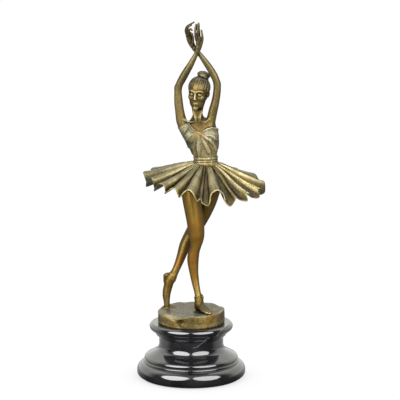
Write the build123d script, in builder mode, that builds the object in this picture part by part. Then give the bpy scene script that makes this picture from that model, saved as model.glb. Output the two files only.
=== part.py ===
"""Bronze ballerina statuette on a turned black marble socle, as an assembly of its separate pieces.

Units are millimetres. +Z is up, the figure faces -Y, and the origin is the centre of the underside.
The figure is built from lost-wax bronze castings that are joined by spigots and dowels. One stud through
the marble clamps the whole figure to its socle.
"""

import math
import os

from build123d import *

# Driving dimensions
FOOT_RADIUS = 60.0  # widest radius of the marble socle
CAP_RADIUS = 46.0  # rounded rim under the bronze plinth
NECK_RADIUS = 35.5  # narrowest radius of the marble
NECK_SWEEP = 9.0  # radius of the hollow sweep from the neck out to the shoulder
JOINT_RADIUS = 37.4  # radius of the sweep where the two marble blocks meet
PAD_THICKNESS = 1.5  # baize glued under the marble
FOOT_TOP = 32.0  # joint between the two marble blocks
MARBLE_TOP = 61.0
PLINTH_RADIUS = 37.0
PLINTH_TOP = 75.5
PLINTH_WALL = 3.0

STUD_RADIUS = 4.0  # M8 stud
STUD_HOLE_RADIUS = 4.6
STUD_BOTTOM = 5.0
STUD_TOP = 72.0
RECESS_RADIUS = 17.0  # room for the nut under the socle
RECESS_TOP = 16.0
WASHER_RADIUS = 13.0
WASHER_THICKNESS = 1.6
SPRING_WASHER_THICKNESS = 2.0
NUT_ACROSS_FLATS = 13.0
NUT_HEIGHT = 6.5
CLEARANCE = 0.05  # radial gap of every pin and spigot

DOWEL_RADIUS = 1.6
SKIRT_RADIUS = 65.0
SKIRT_CENTRE = (14.0, 0.0, 236.0)  # middle of the waist opening
SKIRT_PLACE = Location(SKIRT_CENTRE, (6.5, 2.2, 0))  # tipped forward, and down to the figure's left
PLEATS = 22
SHEET = 2.2  # thickness of the cast skirt, measured upright
WAIST_HALF_WIDTH = 14.3
WAIST_HALF_DEPTH = 11.6
SPIGOT_RADIUS = 7.0


def section(point, direction, across, deep):
    """An ellipse at a point, square to a direction. Across runs along X, or level on a flat-lying limb."""
    along = Vector(*direction).normalized()
    upright = abs(along.Z) > 0.5
    side = Vector(1, 0, 0) - along * along.X if upright else Vector(0, 0, 1).cross(along)
    with BuildSketch(Plane(origin=point, x_dir=side, z_dir=along)) as outline:
        Ellipse(across, deep)
    return outline.sketch


def limb(stations):
    """Sections along a limb. Each station is (x, y, z, half width, half depth)."""
    points = [Vector(*station[:3]) for station in stations]
    sections = []
    for index, station in enumerate(stations):
        before = points[max(index - 1, 0)]
        after = points[min(index + 1, len(points) - 1)]
        sections.append(section(station[:3], tuple(after - before), station[3], station[4]))
    return sections


def finger(start, bend, tip, radius):
    """A tapering finger through a start, a bend and a tip."""
    return limb(
        [
            (*start, radius, radius),
            (*bend, radius * 0.92, radius * 0.92),
            (*tip, radius * 0.55, radius * 0.55),
        ]
    )


def drill(x, y, bottom, top, radius):
    """A round hole between two heights, cut from the piece that is being made."""
    with Locations((x, y, bottom)):
        Cylinder(
            radius + CLEARANCE,
            top - bottom,
            align=(Align.CENTER, Align.CENTER, Align.MIN),
            mode=Mode.SUBTRACT,
        )


def pin(centre, direction, radius, half_length):
    """A round pin about a centre point."""
    plane = Plane(origin=centre, z_dir=direction)
    with BuildPart() as body:
        with BuildSketch(plane):
            Circle(radius)
        extrude(amount=half_length, both=True)
    return body.part


def cut_pin(place, size):
    """Removes a running-clearance hole for a pin from the piece that is being made."""
    add(pin(*place, size[0] + CLEARANCE, size[1] + 0.3), mode=Mode.SUBTRACT)


def save(part, label):
    """Labels a finished piece and writes it as its own STEP file."""
    part.label = label
    export_step(part, f"parts/{label}.step")


os.makedirs("parts", exist_ok=True)

# ---------------------------------------------------------------- socle

with BuildPart() as baize_pad:
    Cylinder(FOOT_RADIUS - 5, PAD_THICKNESS, align=(Align.CENTER, Align.CENTER, Align.MIN))
    chamfer(baize_pad.faces().sort_by(Axis.Z)[-1].edges(), 0.3)
save(baize_pad.part, "baize_pad")

with BuildPart() as marble_foot:
    with BuildSketch(Plane.XZ):
        with BuildLine():
            base = Line((0, PAD_THICKNESS), (FOOT_RADIUS - 3, PAD_THICKNESS))
            toe = RadiusArc(base @ 1, (FOOT_RADIUS, 5.5), -5)
            side = Line(toe @ 1, (FOOT_RADIUS, 8))
            bulge = RadiusArc(side @ 1, (FOOT_RADIUS - 7.0, 16.6), -9)
            groove = Line(bulge @ 1, (FOOT_RADIUS - 7.5, 17.0))
            bead = RadiusArc(groove @ 1, (FOOT_RADIUS - 8.2, 19.4), -1.5)
            step = Line(bead @ 1, (FOOT_RADIUS - 8.6, 19.8))
            shoulder = RadiusArc(step @ 1, (FOOT_RADIUS - 10.8, 24.6), -3.4)
            slope = Line(shoulder @ 1, (NECK_RADIUS + 5.5, 29.2))
            sweep = RadiusArc(slope @ 1, (JOINT_RADIUS, FOOT_TOP), NECK_SWEEP)
            Polyline(sweep @ 1, (0, FOOT_TOP), base @ 0)
        make_face()
    revolve(axis=Axis.Z)
    with Locations((0, 0, PAD_THICKNESS)):
        Cylinder(
            RECESS_RADIUS,
            RECESS_TOP - PAD_THICKNESS,
            align=(Align.CENTER, Align.CENTER, Align.MIN),
            mode=Mode.SUBTRACT,
        )
    Cylinder(STUD_HOLE_RADIUS, 2 * FOOT_TOP, mode=Mode.SUBTRACT)
save(marble_foot.part, "marble_foot")

with BuildPart() as marble_cap:
    with BuildSketch(Plane.XZ):
        with BuildLine():
            under = Line((0, FOOT_TOP), (JOINT_RADIUS, FOOT_TOP))
            flare = RadiusArc(under @ 1, (NECK_RADIUS, 37.5), NECK_SWEEP)
            neck = Line(flare @ 1, (NECK_RADIUS, 44.4))
            fillet_up = RadiusArc(neck @ 1, (NECK_RADIUS + 1.0, 46.4), 3)
            lip = Line(fillet_up @ 1, (NECK_RADIUS + 1.8, 46.4))
            ring = RadiusArc(lip @ 1, (NECK_RADIUS + 5.1, 52.6), -9)
            land = Line(ring @ 1, (CAP_RADIUS - 3, 52.8))
            rim = RadiusArc(land @ 1, (CAP_RADIUS - 3, MARBLE_TOP), -(MARBLE_TOP - 52.8) / 2 - 0.2)
            Polyline(rim @ 1, (0, MARBLE_TOP), under @ 0)
        make_face()
    revolve(axis=Axis.Z)
    Cylinder(STUD_HOLE_RADIUS, 3 * MARBLE_TOP, mode=Mode.SUBTRACT)
save(marble_cap.part, "marble_cap")

# ---------------------------------------------------------------- fixing

with BuildPart() as threaded_rod:
    with Locations((0, 0, STUD_BOTTOM)):
        Cylinder(
            STUD_RADIUS - CLEARANCE,
            STUD_TOP - STUD_BOTTOM,
            align=(Align.CENTER, Align.CENTER, Align.MIN),
        )
    chamfer(threaded_rod.edges(), 0.8)
save(threaded_rod.part, "threaded_rod")

with BuildPart() as clamp_washer:
    with BuildSketch(Plane.XY.offset(RECESS_TOP - WASHER_THICKNESS)):
        Circle(WASHER_RADIUS)
        Circle(STUD_RADIUS + 0.25, mode=Mode.SUBTRACT)
    extrude(amount=WASHER_THICKNESS)
save(clamp_washer.part, "clamp_washer")

spring_washer_top = RECESS_TOP - WASHER_THICKNESS
with BuildPart() as spring_washer:
    with BuildSketch(Plane.XY.offset(spring_washer_top - SPRING_WASHER_THICKNESS)):
        Circle(STUD_RADIUS + 3.4)
        Circle(STUD_RADIUS + 0.2, mode=Mode.SUBTRACT)
        with Locations((STUD_RADIUS + 2, 0)):
            Rectangle(6, 0.8, rotation=25, mode=Mode.SUBTRACT)
    extrude(amount=SPRING_WASHER_THICKNESS)
save(spring_washer.part, "spring_washer")

nut_top = spring_washer_top - SPRING_WASHER_THICKNESS
with BuildPart() as hex_nut:
    with BuildSketch(Plane.XY.offset(nut_top - NUT_HEIGHT + 1)):
        RegularPolygon(NUT_ACROSS_FLATS / 2, 6, major_radius=False)
        Circle(STUD_RADIUS, mode=Mode.SUBTRACT)
    extrude(amount=NUT_HEIGHT - 1)
    with BuildSketch(Plane.XY.offset(nut_top - NUT_HEIGHT)):
        Circle(NUT_ACROSS_FLATS / 2)
        Circle(STUD_RADIUS, mode=Mode.SUBTRACT)
    extrude(amount=1)
save(hex_nut.part, "hex_nut")

# ---------------------------------------------------------------- bronze plinth

FOOT_DOWELS = [(10.0, -4.0), (-27.0, 5.0)]
DOWEL_BOTTOM = PLINTH_TOP - PLINTH_WALL - 2
with BuildPart() as bronze_plinth:
    with Locations((0, 0, MARBLE_TOP)):
        Cylinder(
            PLINTH_RADIUS,
            PLINTH_TOP - MARBLE_TOP,
            align=(Align.CENTER, Align.CENTER, Align.MIN),
        )
    fillet(bronze_plinth.edges().sort_by(Axis.Z)[-1], 1.5)
    with BuildSketch(Plane.XY.offset(MARBLE_TOP)):
        Circle(PLINTH_RADIUS - PLINTH_WALL)
        Circle(STUD_RADIUS + 5, mode=Mode.SUBTRACT)
    extrude(amount=PLINTH_TOP - MARBLE_TOP - PLINTH_WALL, mode=Mode.SUBTRACT)
    with Locations((0, 0, MARBLE_TOP)):
        Cylinder(
            STUD_RADIUS,
            STUD_TOP - MARBLE_TOP + 0.5,
            align=(Align.CENTER, Align.CENTER, Align.MIN),
            mode=Mode.SUBTRACT,
        )
    with BuildSketch(Plane.XY.offset(PLINTH_TOP)):
        with Locations(*FOOT_DOWELS):
            Circle(DOWEL_RADIUS + CLEARANCE)
    extrude(amount=-2 * PLINTH_WALL, mode=Mode.SUBTRACT)
save(bronze_plinth.part, "bronze_plinth")

# ---------------------------------------------------------------- legs

HIP_CUT = 210.0  # height where the thighs meet the pelvis casting
RIGHT_THIGH = (0.0, -3.0, HIP_CUT, 11.8, 12.2)
LEFT_THIGH = (22.2, 6.5, HIP_CUT, 11.4, 11.8)
RIGHT_LEG = [
    (0.6, -1.0, 220.0, 11.8, 12.2),
    RIGHT_THIGH,
    (0.9, -4.5, 197.6, 11.0, 11.6),
    (2.2, -5.5, 186.5, 10.2, 11.0),
    (3.9, -6.0, 175.4, 9.6, 10.0),
    (5.7, -6.0, 164.5, 9.3, 9.4),
    (5.2, -4.0, 153.0, 6.9, 8.0),
    (3.2, -1.2, 142.0, 6.3, 7.6),
    (2.1, 0.8, 133.0, 6.7, 7.8),
    (2.5, 1.8, 124.0, 6.0, 7.0),
    (3.8, 2.2, 112.5, 4.8, 5.5),
    (5.6, 2.5, 101.0, 3.9, 4.5),
    (7.0, 3.0, 92.0, 3.9, 4.4),
    (8.2, 2.0, 82.0, 4.4, 5.6),
]
RIGHT_FOOT = [
    (3.6, 9.8, 79.4, 2.6, 2.8),
    (5.2, 6.2, 80.2, 4.2, 4.6),
    (9.4, -3.0, 81.6, 4.6, 5.6),
    (14.4, -14.0, 79.4, 5.8, 3.6),
    (18.2, -22.0, 77.6, 4.4, 2.2),
    (19.6, -25.2, 77.2, 2.0, 1.4),
]
LEFT_LEG = [
    (22.0, 3.2, 220.0, 11.2, 11.8),
    LEFT_THIGH,
    (18.8, 11.5, 195.5, 10.4, 11.0),
    (14.4, 15.0, 184.0, 9.8, 10.2),
    (9.5, 17.6, 173.5, 9.0, 9.4),
    (4.4, 19.0, 163.5, 8.0, 8.8),
    (-1.5, 19.4, 155.0, 6.9, 7.8),
    (-6.2, 18.6, 147.0, 6.4, 7.4),
    (-9.2, 17.2, 138.5, 6.1, 7.0),
    (-11.8, 15.4, 130.5, 5.4, 6.2),
    (-15.0, 13.4, 122.8, 4.5, 5.2),
    (-18.4, 11.8, 116.0, 4.1, 4.4),
    (-22.0, 10.6, 110.5, 5.6, 4.6),
    (-24.6, 9.0, 104.0, 4.9, 4.7),
    (-26.0, 7.6, 96.0, 4.3, 4.8),
    (-27.2, 6.2, 88.0, 4.2, 5.0),
    (-27.0, 5.4, 82.0, 3.5, 4.9),
    (-26.6, 5.2, 77.0, 3.2, 4.8),
]
LEFT_HEEL = (-26.4, 11.6, 112.4)
HEEL_RADIUS = 3.3
LEFT_TOES = [
    (-32.6, 3.4, 77.8, 1.6, 1.6),
    (-30.0, 4.0, 78.4, 4.4, 3.0),
    (-24.4, 5.6, 78.2, 5.0, 3.0),
    (-19.4, 7.4, 77.6, 3.8, 2.2),
    (-17.0, 8.2, 77.2, 1.6, 1.2),
]
HIP_DOWEL_RADIUS = 3.5
HIP_DOWEL_HALF = 9.0
ground = Plane.XY.offset(PLINTH_TOP)


with BuildPart() as supporting_leg:
    loft(limb(RIGHT_LEG))
    loft(limb(RIGHT_FOOT))
    split(bisect_by=ground, keep=Keep.TOP)
    split(bisect_by=Plane.XY.offset(HIP_CUT), keep=Keep.BOTTOM)
    drill(*FOOT_DOWELS[0], PLINTH_TOP - 1, PLINTH_TOP + 7, DOWEL_RADIUS)
    drill(*RIGHT_THIGH[:2], HIP_CUT - HIP_DOWEL_HALF - 0.5, HIP_CUT + 1, HIP_DOWEL_RADIUS)
save(supporting_leg.part, "supporting_leg")

with BuildPart() as crossed_leg:
    loft(limb(LEFT_LEG))
    loft(limb(LEFT_TOES))
    with Locations(LEFT_HEEL):
        Sphere(HEEL_RADIUS)
    split(bisect_by=ground, keep=Keep.TOP)
    split(bisect_by=Plane.XY.offset(HIP_CUT), keep=Keep.BOTTOM)
    drill(*FOOT_DOWELS[1], PLINTH_TOP - 1, PLINTH_TOP + 7, DOWEL_RADIUS)
    drill(*LEFT_THIGH[:2], HIP_CUT - HIP_DOWEL_HALF - 0.5, HIP_CUT + 1, HIP_DOWEL_RADIUS)
save(crossed_leg.part, "crossed_leg")

with BuildPart() as foot_dowels:
    with BuildSketch(Plane.XY.offset(DOWEL_BOTTOM)):
        with Locations(*FOOT_DOWELS):
            Circle(DOWEL_RADIUS)
    extrude(amount=PLINTH_TOP + 6.5 - DOWEL_BOTTOM)
save(foot_dowels.part, "foot_dowels")

with BuildPart() as hip_dowels:
    with BuildSketch(Plane.XY.offset(HIP_CUT - HIP_DOWEL_HALF)):
        with Locations(RIGHT_THIGH[:2], LEFT_THIGH[:2]):
            Circle(HIP_DOWEL_RADIUS)
    extrude(amount=2 * HIP_DOWEL_HALF)
save(hip_dowels.part, "hip_dowels")

# ---------------------------------------------------------------- pelvis

WAIST_X, WAIST_Y, WAIST_Z = SKIRT_CENTRE
PELVIS_TOP = WAIST_Z - 4.0
SPIGOT_BOTTOM = PELVIS_TOP - 10
CROSS_PIN = ((WAIST_X, WAIST_Y, PELVIS_TOP - 6), (0, 1, 0))
CROSS_PIN_SIZE = (1.3, 9.5)  # radius and half length
with BuildPart() as pelvis:
    loft(
        limb(
            [
                (11.0, 2.5, HIP_CUT + 3, 16.0, 11.0),
                (11.4, 2.2, HIP_CUT + 9, 21.5, 14.0),
                (12.4, 1.4, HIP_CUT + 15, 19.5, 13.5),
                (WAIST_X, WAIST_Y, PELVIS_TOP, WAIST_HALF_WIDTH - 0.5, WAIST_HALF_DEPTH - 0.5),
            ]
        )
    )
    loft(limb(RIGHT_LEG[:4]))
    loft(limb(LEFT_LEG[:4]))
    split(bisect_by=Plane.XY.offset(HIP_CUT), keep=Keep.TOP)
    split(bisect_by=Plane.XY.offset(PELVIS_TOP), keep=Keep.BOTTOM)
    for thigh in (RIGHT_THIGH, LEFT_THIGH):
        drill(*thigh[:2], HIP_CUT - 1, HIP_CUT + HIP_DOWEL_HALF + 0.5, HIP_DOWEL_RADIUS)
    drill(WAIST_X, WAIST_Y, SPIGOT_BOTTOM - 0.5, PELVIS_TOP + 1, SPIGOT_RADIUS)
    cut_pin(CROSS_PIN, CROSS_PIN_SIZE)
save(pelvis.part, "pelvis")

waist_cross_pin = pin(*CROSS_PIN, *CROSS_PIN_SIZE)
save(waist_cross_pin, "waist_cross_pin")

# ---------------------------------------------------------------- torso, head and arms

TORSO_BOTTOM = WAIST_Z + 8.0
NECK_CUT = 288.5
TORSO = [
    (WAIST_X + 1.4, WAIST_Y, TORSO_BOTTOM, WAIST_HALF_WIDTH - 0.4, WAIST_HALF_DEPTH - 0.4),
    (15.4, 0.0, 253.0, 14.6, 11.2),
    (14.4, -0.6, 262.0, 16.6, 12.2),
    (13.2, -0.8, 269.0, 17.6, 12.4),
    (11.6, 0.0, 275.0, 17.4, 11.4),
    (8.8, 1.0, 281.0, 15.0, 9.6),
    (7.4, 1.5, 285.5, 9.4, 7.4),
    (7.1, 1.5, 290.0, 5.7, 5.8),
]
RIGHT_ARM = [
    (0.2, 1.0, 273.0, 5.4, 7.0),
    (-5.6, 0.6, 281.0, 5.6, 6.6),
    (-9.4, -0.2, 287.5, 5.2, 5.8),
    (-12.2, -1.5, 295.0, 4.8, 5.0),
    (-13.8, -3.0, 304.0, 4.8, 4.8),
    (-14.8, -4.6, 313.5, 4.4, 4.5),
    (-13.8, -6.0, 322.0, 4.0, 4.1),
    (-10.6, -7.0, 330.5, 4.3, 4.0),
    (-5.4, -8.4, 341.0, 4.3, 3.8),
    (1.8, -9.8, 352.0, 3.4, 2.8),
    (6.2, -10.6, 360.5, 2.4, 1.9),
    (8.4, -10.8, 366.5, 3.2, 1.7),
    (8.8, -10.6, 371.5, 3.7, 1.7),
    (8.0, -10.4, 377.5, 2.9, 1.4),
]
LEFT_ARM = [
    (19.0, 1.0, 275.0, 5.6, 7.0),
    (22.4, 0.5, 285.5, 5.0, 6.0),
    (23.6, -0.5, 295.0, 4.8, 5.0),
    (26.2, -1.5, 305.5, 4.4, 4.8),
    (28.0, -2.4, 317.0, 4.0, 4.4),
    (27.6, -3.2, 326.0, 4.2, 4.2),
    (23.6, -4.0, 335.5, 4.3, 4.0),
    (19.6, -4.8, 343.5, 4.3, 3.7),
    (13.4, -5.6, 353.5, 3.4, 2.8),
    (6.4, -6.6, 361.5, 2.4, 1.9),
    (2.4, -6.8, 366.5, 2.2, 1.9),
    (-0.8, -6.6, 372.5, 2.7, 2.2),
    (-3.2, -6.2, 379.5, 2.5, 2.0),
]
RIGHT_FINGERS = [
    ((6.8, -10.8, 376.0), (5.6, -11.6, 384.0), (5.2, -10.6, 391.0), 1.2),
    ((8.2, -10.2, 376.0), (7.4, -10.6, 385.0), (7.4, -9.4, 392.4), 1.2),
    ((6.0, -9.6, 374.0), (4.6, -9.4, 381.0), (4.8, -8.2, 387.0), 1.1),
    ((11.2, -10.4, 370.5), (12.0, -10.8, 377.0), (11.1, -11.6, 384.4), 1.2),
]
LEFT_FINGERS = [
    ((-3.0, -6.4, 378.5), (-4.6, -7.0, 387.4), (2.6, -8.2, 393.6), 1.25),
    ((-4.0, -5.2, 378.0), (-6.2, -5.2, 385.2), (-3.6, -6.8, 389.6), 1.25),
    ((-4.2, -4.4, 376.0), (-7.0, -4.0, 382.0), (-5.6, -4.4, 386.4), 1.1),
    ((-0.8, -7.6, 371.5), (0.4, -9.0, 377.0), (-0.6, -9.4, 382.0), 1.15),
]
SHOULDER_DOWELS = [
    ((-4.6, 0.6, 279.6), (-0.55, -0.08, 0.83)),
    ((20.6, 0.7, 280.0), (0.30, -0.05, 0.95)),
]
SHOULDER_DOWEL = (1.6, 5.0)  # radius and half length
NECK_DOWEL = ((7.1, 1.5, NECK_CUT), (0, 0, 1))
NECK_DOWEL_SIZE = (1.8, 6.5)


with BuildPart() as torso:
    loft(limb(TORSO))
    split(bisect_by=Plane.XY.offset(TORSO_BOTTOM), keep=Keep.TOP)
    split(bisect_by=Plane.XY.offset(NECK_CUT), keep=Keep.BOTTOM)
    with Locations((WAIST_X, WAIST_Y, SPIGOT_BOTTOM)):
        Cylinder(
            SPIGOT_RADIUS,
            TORSO_BOTTOM + 2 - SPIGOT_BOTTOM,
            align=(Align.CENTER, Align.CENTER, Align.MIN),
        )
    for place in SHOULDER_DOWELS:
        cut_pin(place, SHOULDER_DOWEL)
    cut_pin(NECK_DOWEL, NECK_DOWEL_SIZE)
    cut_pin(CROSS_PIN, CROSS_PIN_SIZE)
save(torso.part, "torso")

with BuildPart() as right_arm:
    loft(limb(RIGHT_ARM))
    for shape in RIGHT_FINGERS:
        loft(finger(*shape))
    add(torso.part, mode=Mode.SUBTRACT)
    cut_pin(SHOULDER_DOWELS[0], SHOULDER_DOWEL)
save(right_arm.part, "right_arm")

with BuildPart() as left_arm:
    loft(limb(LEFT_ARM))
    for shape in LEFT_FINGERS:
        loft(finger(*shape))
    add(torso.part, mode=Mode.SUBTRACT)
    add(right_arm.part, mode=Mode.SUBTRACT)
    cut_pin(SHOULDER_DOWELS[1], SHOULDER_DOWEL)
save(left_arm.part, "left_arm")

# The head is shaped about its own middle, facing -Y, and is then turned and set on the neck.
HEAD_PLACE = Location((7.9, -0.6, 315.6), (4, 3, -17))
NECK = [
    (7.1, 1.5, NECK_CUT - 3, 5.6, 5.7),
    (6.9, 1.2, 293.5, 5.0, 5.3),
    (7.0, 0.8, 305.0, 5.4, 6.0),
]
SKULL = [
    (0, -5.4, -16.4, 2.8, 2.6),
    (0, -4.4, -13.4, 5.4, 6.8),
    (0, -2.6, -8.0, 8.2, 10.0),
    (0, -0.6, 0, 10.1, 12.2),
    (0, 0.4, 6.4, 10.2, 12.6),
    (0, 1.0, 12.4, 7.8, 10.0),
    (0, 1.2, 16.2, 3.0, 4.2),
]
NOSE = [
    (0, -12.0, 2.6, 1.0, 1.0),
    (0, -13.6, -4.0, 1.7, 1.9),
    (0, -12.4, -5.4, 1.5, 0.9),
]
LIPS = [
    (-2.9, -11.0, -9.0, 0.6, 0.5),
    (0, -12.2, -9.0, 1.1, 1.0),
    (2.9, -11.0, -9.0, 0.6, 0.5),
]
EYE_SPACING = 4.3  # each eye from the middle of the face
EYELID_RADIUS = 2.1
EAR = [
    (9.4, 0.6, -4.2, 0.8, 1.2),
    (10.4, 1.2, -0.4, 1.2, 2.5),
    (10.0, 1.8, 3.2, 0.7, 1.5),
]
BUN = (1.6, 7.4, 15.6)
BUN_RADIUS = 5.6


with BuildPart() as face:
    loft(limb(SKULL))
    with Locations((EYE_SPACING, -13.4, 0.6), (-EYE_SPACING, -13.4, 0.6)):
        Sphere(EYELID_RADIUS + 0.9, mode=Mode.SUBTRACT)
    with Locations((EYE_SPACING, -10.2, 0), (-EYE_SPACING, -10.2, 0)):
        Sphere(EYELID_RADIUS)
    loft(limb(NOSE))
    loft(limb(LIPS))
    loft(limb(EAR))
    loft(limb([(-x, y, z, across, deep) for x, y, z, across, deep in EAR]))
    with Locations(BUN):
        Sphere(BUN_RADIUS)

with BuildPart() as head:
    loft(limb(NECK))
    add(face.part.moved(HEAD_PLACE))
    split(bisect_by=Plane.XY.offset(NECK_CUT), keep=Keep.TOP)
    cut_pin(NECK_DOWEL, NECK_DOWEL_SIZE)
save(head.part, "head")

with BuildPart() as shoulder_dowels:
    for place in SHOULDER_DOWELS:
        add(pin(*place, *SHOULDER_DOWEL))
save(shoulder_dowels.part, "shoulder_dowels")

neck_dowel = pin(*NECK_DOWEL, *NECK_DOWEL_SIZE)
save(neck_dowel, "neck_dowel")

# ---------------------------------------------------------------- tutu skirt

SKIRT_SLOPE = 0.38
INNER_RADIUS = SPIGOT_RADIUS + 2  # the pleats start inside the waistband
HEM_WAVE = 4.6  # depth of the fullest pleat at the hem, to either side of the cone
PLEAT_DEPTHS = (1.0, 0.72, 0.9, 1.1, 0.66, 0.95, 0.8, 1.08, 0.7, 0.92, 1.0)  # share of HEM_WAVE, in turn
BAND_HEIGHT = 3.2
BANDS = [(WAIST_Z + 1.0, 1.1), (WAIST_Z + 4.8, 0.8)]  # bottom of each ridge, and how far it stands out


def pleat_profile(radius, depth):
    """The cross-section of one pleat at a radius: from crest to crest, with the valley between them."""
    half = radius * math.tan(math.pi / PLEATS)
    bend = half / 2
    crest = HEM_WAVE * radius / SKIRT_RADIUS
    valley = -crest * depth
    under_crest = crest - SHEET
    under_valley = valley - SHEET
    level = -(radius - WAIST_HALF_WIDTH) * SKIRT_SLOPE
    with BuildSketch(Plane(origin=(radius, 0, level), x_dir=(0, 1, 0), z_dir=(1, 0, 0))) as profile:
        with BuildLine():
            Bezier((-half, crest), (-bend, crest), (-bend, valley), (0, valley))
            Bezier((0, valley), (bend, valley), (bend, crest), (half, crest))
            Line((half, crest), (half, under_crest))
            Bezier((half, under_crest), (bend, under_crest), (bend, under_valley), (0, under_valley))
            Bezier((0, under_valley), (-bend, under_valley), (-bend, under_crest), (-half, under_crest))
            Line((-half, under_crest), (-half, crest))
        make_face()
    return profile.sketch


def pleat(index):
    """One pleat of the skirt, turned to its place round the waist."""
    depth = PLEAT_DEPTHS[index % len(PLEAT_DEPTHS)]
    wedge = loft([pleat_profile(INNER_RADIUS, depth), pleat_profile(SKIRT_RADIUS, depth)], ruled=True)
    return wedge.moved(Location((0, 0, 0), (0, 0, 360 * index / PLEATS)))


pleats = [pleat(index).moved(SKIRT_PLACE) for index in range(PLEATS)]

with BuildPart() as tutu_skirt:
    add(pleats)
    with BuildSketch(Plane.XY.offset(PELVIS_TOP)):
        with Locations((WAIST_X, WAIST_Y)):
            Ellipse(WAIST_HALF_WIDTH + 0.4, WAIST_HALF_DEPTH + 0.4)
    extrude(amount=TORSO_BOTTOM - PELVIS_TOP)
    for bottom, growth in BANDS:
        with BuildSketch(Plane.XY.offset(bottom)):
            with Locations((WAIST_X, WAIST_Y)):
                Ellipse(WAIST_HALF_WIDTH + growth, WAIST_HALF_DEPTH + growth)
        extrude(amount=BAND_HEIGHT)
    split(bisect_by=Plane.XY.offset(TORSO_BOTTOM), keep=Keep.BOTTOM)
    drill(WAIST_X, WAIST_Y, PELVIS_TOP - 6, TORSO_BOTTOM + 1, SPIGOT_RADIUS)
save(tutu_skirt.part, "tutu_skirt")
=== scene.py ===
"""Looks of the bronze ballerina statuette on its black marble socle.

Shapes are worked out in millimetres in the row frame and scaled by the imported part's own height.
The cast figure is a set of smooth distance fields, one per piece, meshed and cut at the CAD joints.
"""

import math

import bpy
import numpy as np
from mathutils import Euler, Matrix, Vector


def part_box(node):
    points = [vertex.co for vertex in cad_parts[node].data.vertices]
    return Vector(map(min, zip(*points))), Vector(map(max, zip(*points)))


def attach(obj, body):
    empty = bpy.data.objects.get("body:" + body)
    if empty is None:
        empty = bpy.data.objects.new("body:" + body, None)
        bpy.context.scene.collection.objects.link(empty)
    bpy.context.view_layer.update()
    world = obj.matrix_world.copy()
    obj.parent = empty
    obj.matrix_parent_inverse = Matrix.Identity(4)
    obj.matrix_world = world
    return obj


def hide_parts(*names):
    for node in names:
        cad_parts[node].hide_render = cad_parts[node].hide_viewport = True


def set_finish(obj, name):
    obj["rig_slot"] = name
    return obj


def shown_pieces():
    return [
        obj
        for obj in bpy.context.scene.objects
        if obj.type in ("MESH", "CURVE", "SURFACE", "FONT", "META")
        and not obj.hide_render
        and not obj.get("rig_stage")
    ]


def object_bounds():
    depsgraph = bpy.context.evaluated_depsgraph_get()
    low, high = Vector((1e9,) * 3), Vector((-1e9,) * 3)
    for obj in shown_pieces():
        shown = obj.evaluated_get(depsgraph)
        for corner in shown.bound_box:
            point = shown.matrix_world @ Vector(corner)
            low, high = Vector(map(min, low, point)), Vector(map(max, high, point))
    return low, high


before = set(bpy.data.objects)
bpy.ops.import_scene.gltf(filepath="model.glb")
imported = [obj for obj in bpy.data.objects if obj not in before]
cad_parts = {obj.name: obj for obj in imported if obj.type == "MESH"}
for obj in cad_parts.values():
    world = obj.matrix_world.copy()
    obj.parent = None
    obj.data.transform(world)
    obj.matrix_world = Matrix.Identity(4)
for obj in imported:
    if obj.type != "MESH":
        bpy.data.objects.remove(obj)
cad_low, cad_high = (list(corner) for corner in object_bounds())

DESIGN_HEIGHT = 394.124  # height in mm that the figure's numbers below are written for
MM = (cad_high[2] - cad_low[2]) / DESIGN_HEIGHT


def top_of(node):
    """Height of a CAD node's highest point in design mm."""
    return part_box(node)[1].z / MM


def foot_of(node):
    """Height of a CAD node's lowest point in design mm."""
    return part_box(node)[0].z / MM


PLINTH_TOP = top_of("bronze_plinth")
PLINTH_FOOT = foot_of("bronze_plinth")
PLINTH_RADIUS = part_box("bronze_plinth")[1].x / MM
HIP_CUT = top_of("supporting_leg")
NECK_CUT = foot_of("head")
WAIST = (16, 0)  # centre of the waist in plan
WAIST_SEAM = top_of("tutu_skirt")

# --- distance fields


def soft_join(a, b, k):
    """The nearer of two fields, with a fillet of size k where they meet."""
    h = np.maximum(k - np.abs(a - b), 0.0) / k
    return np.minimum(a, b) - h * h * k * 0.25


def soft_cut(a, b, k):
    """Field a with field b taken away, with a rounded edge of size k."""
    return -soft_join(-a, b, k)


def ellipsoid(p, centre, radii, turn=None):
    """An ellipsoid, turned by a 3 by 3 matrix if one is given."""
    q = p - np.asarray(centre, float)
    if turn is not None:
        q = q @ turn
    r = np.asarray(radii, float)
    near = np.linalg.norm(q / r, axis=1)
    slope = np.linalg.norm(q / (r * r), axis=1)
    return near * (near - 1.0) / np.maximum(slope, 1e-6)


def turned(*degrees):
    """Rotation matrix for ellipsoid(): its columns are the ellipsoid's own axes."""
    return np.array(Euler([math.radians(d) for d in degrees]).to_matrix())


def smooth_path(stations, spacing=1.0):
    """A Catmull-Rom curve through stations, sampled about every spacing mm."""
    s = np.asarray(stations, float)
    padded = np.vstack([2 * s[0] - s[1], s, 2 * s[-1] - s[-2]])
    out = []
    for i in range(len(s) - 1):
        a, b, c, d = padded[i : i + 4]
        count = max(2, int(np.linalg.norm((c - b)[:3]) / spacing) + 1)
        t = np.linspace(0, 1, count, endpoint=False)[:, None]
        out.append(
            0.5 * (2 * b + (c - a) * t + (2 * a - 5 * b + 4 * c - d) * t**2 + (3 * b - a - 3 * c + d) * t**3)
        )
    out.append(s[-1:])
    return np.vstack(out)


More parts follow.
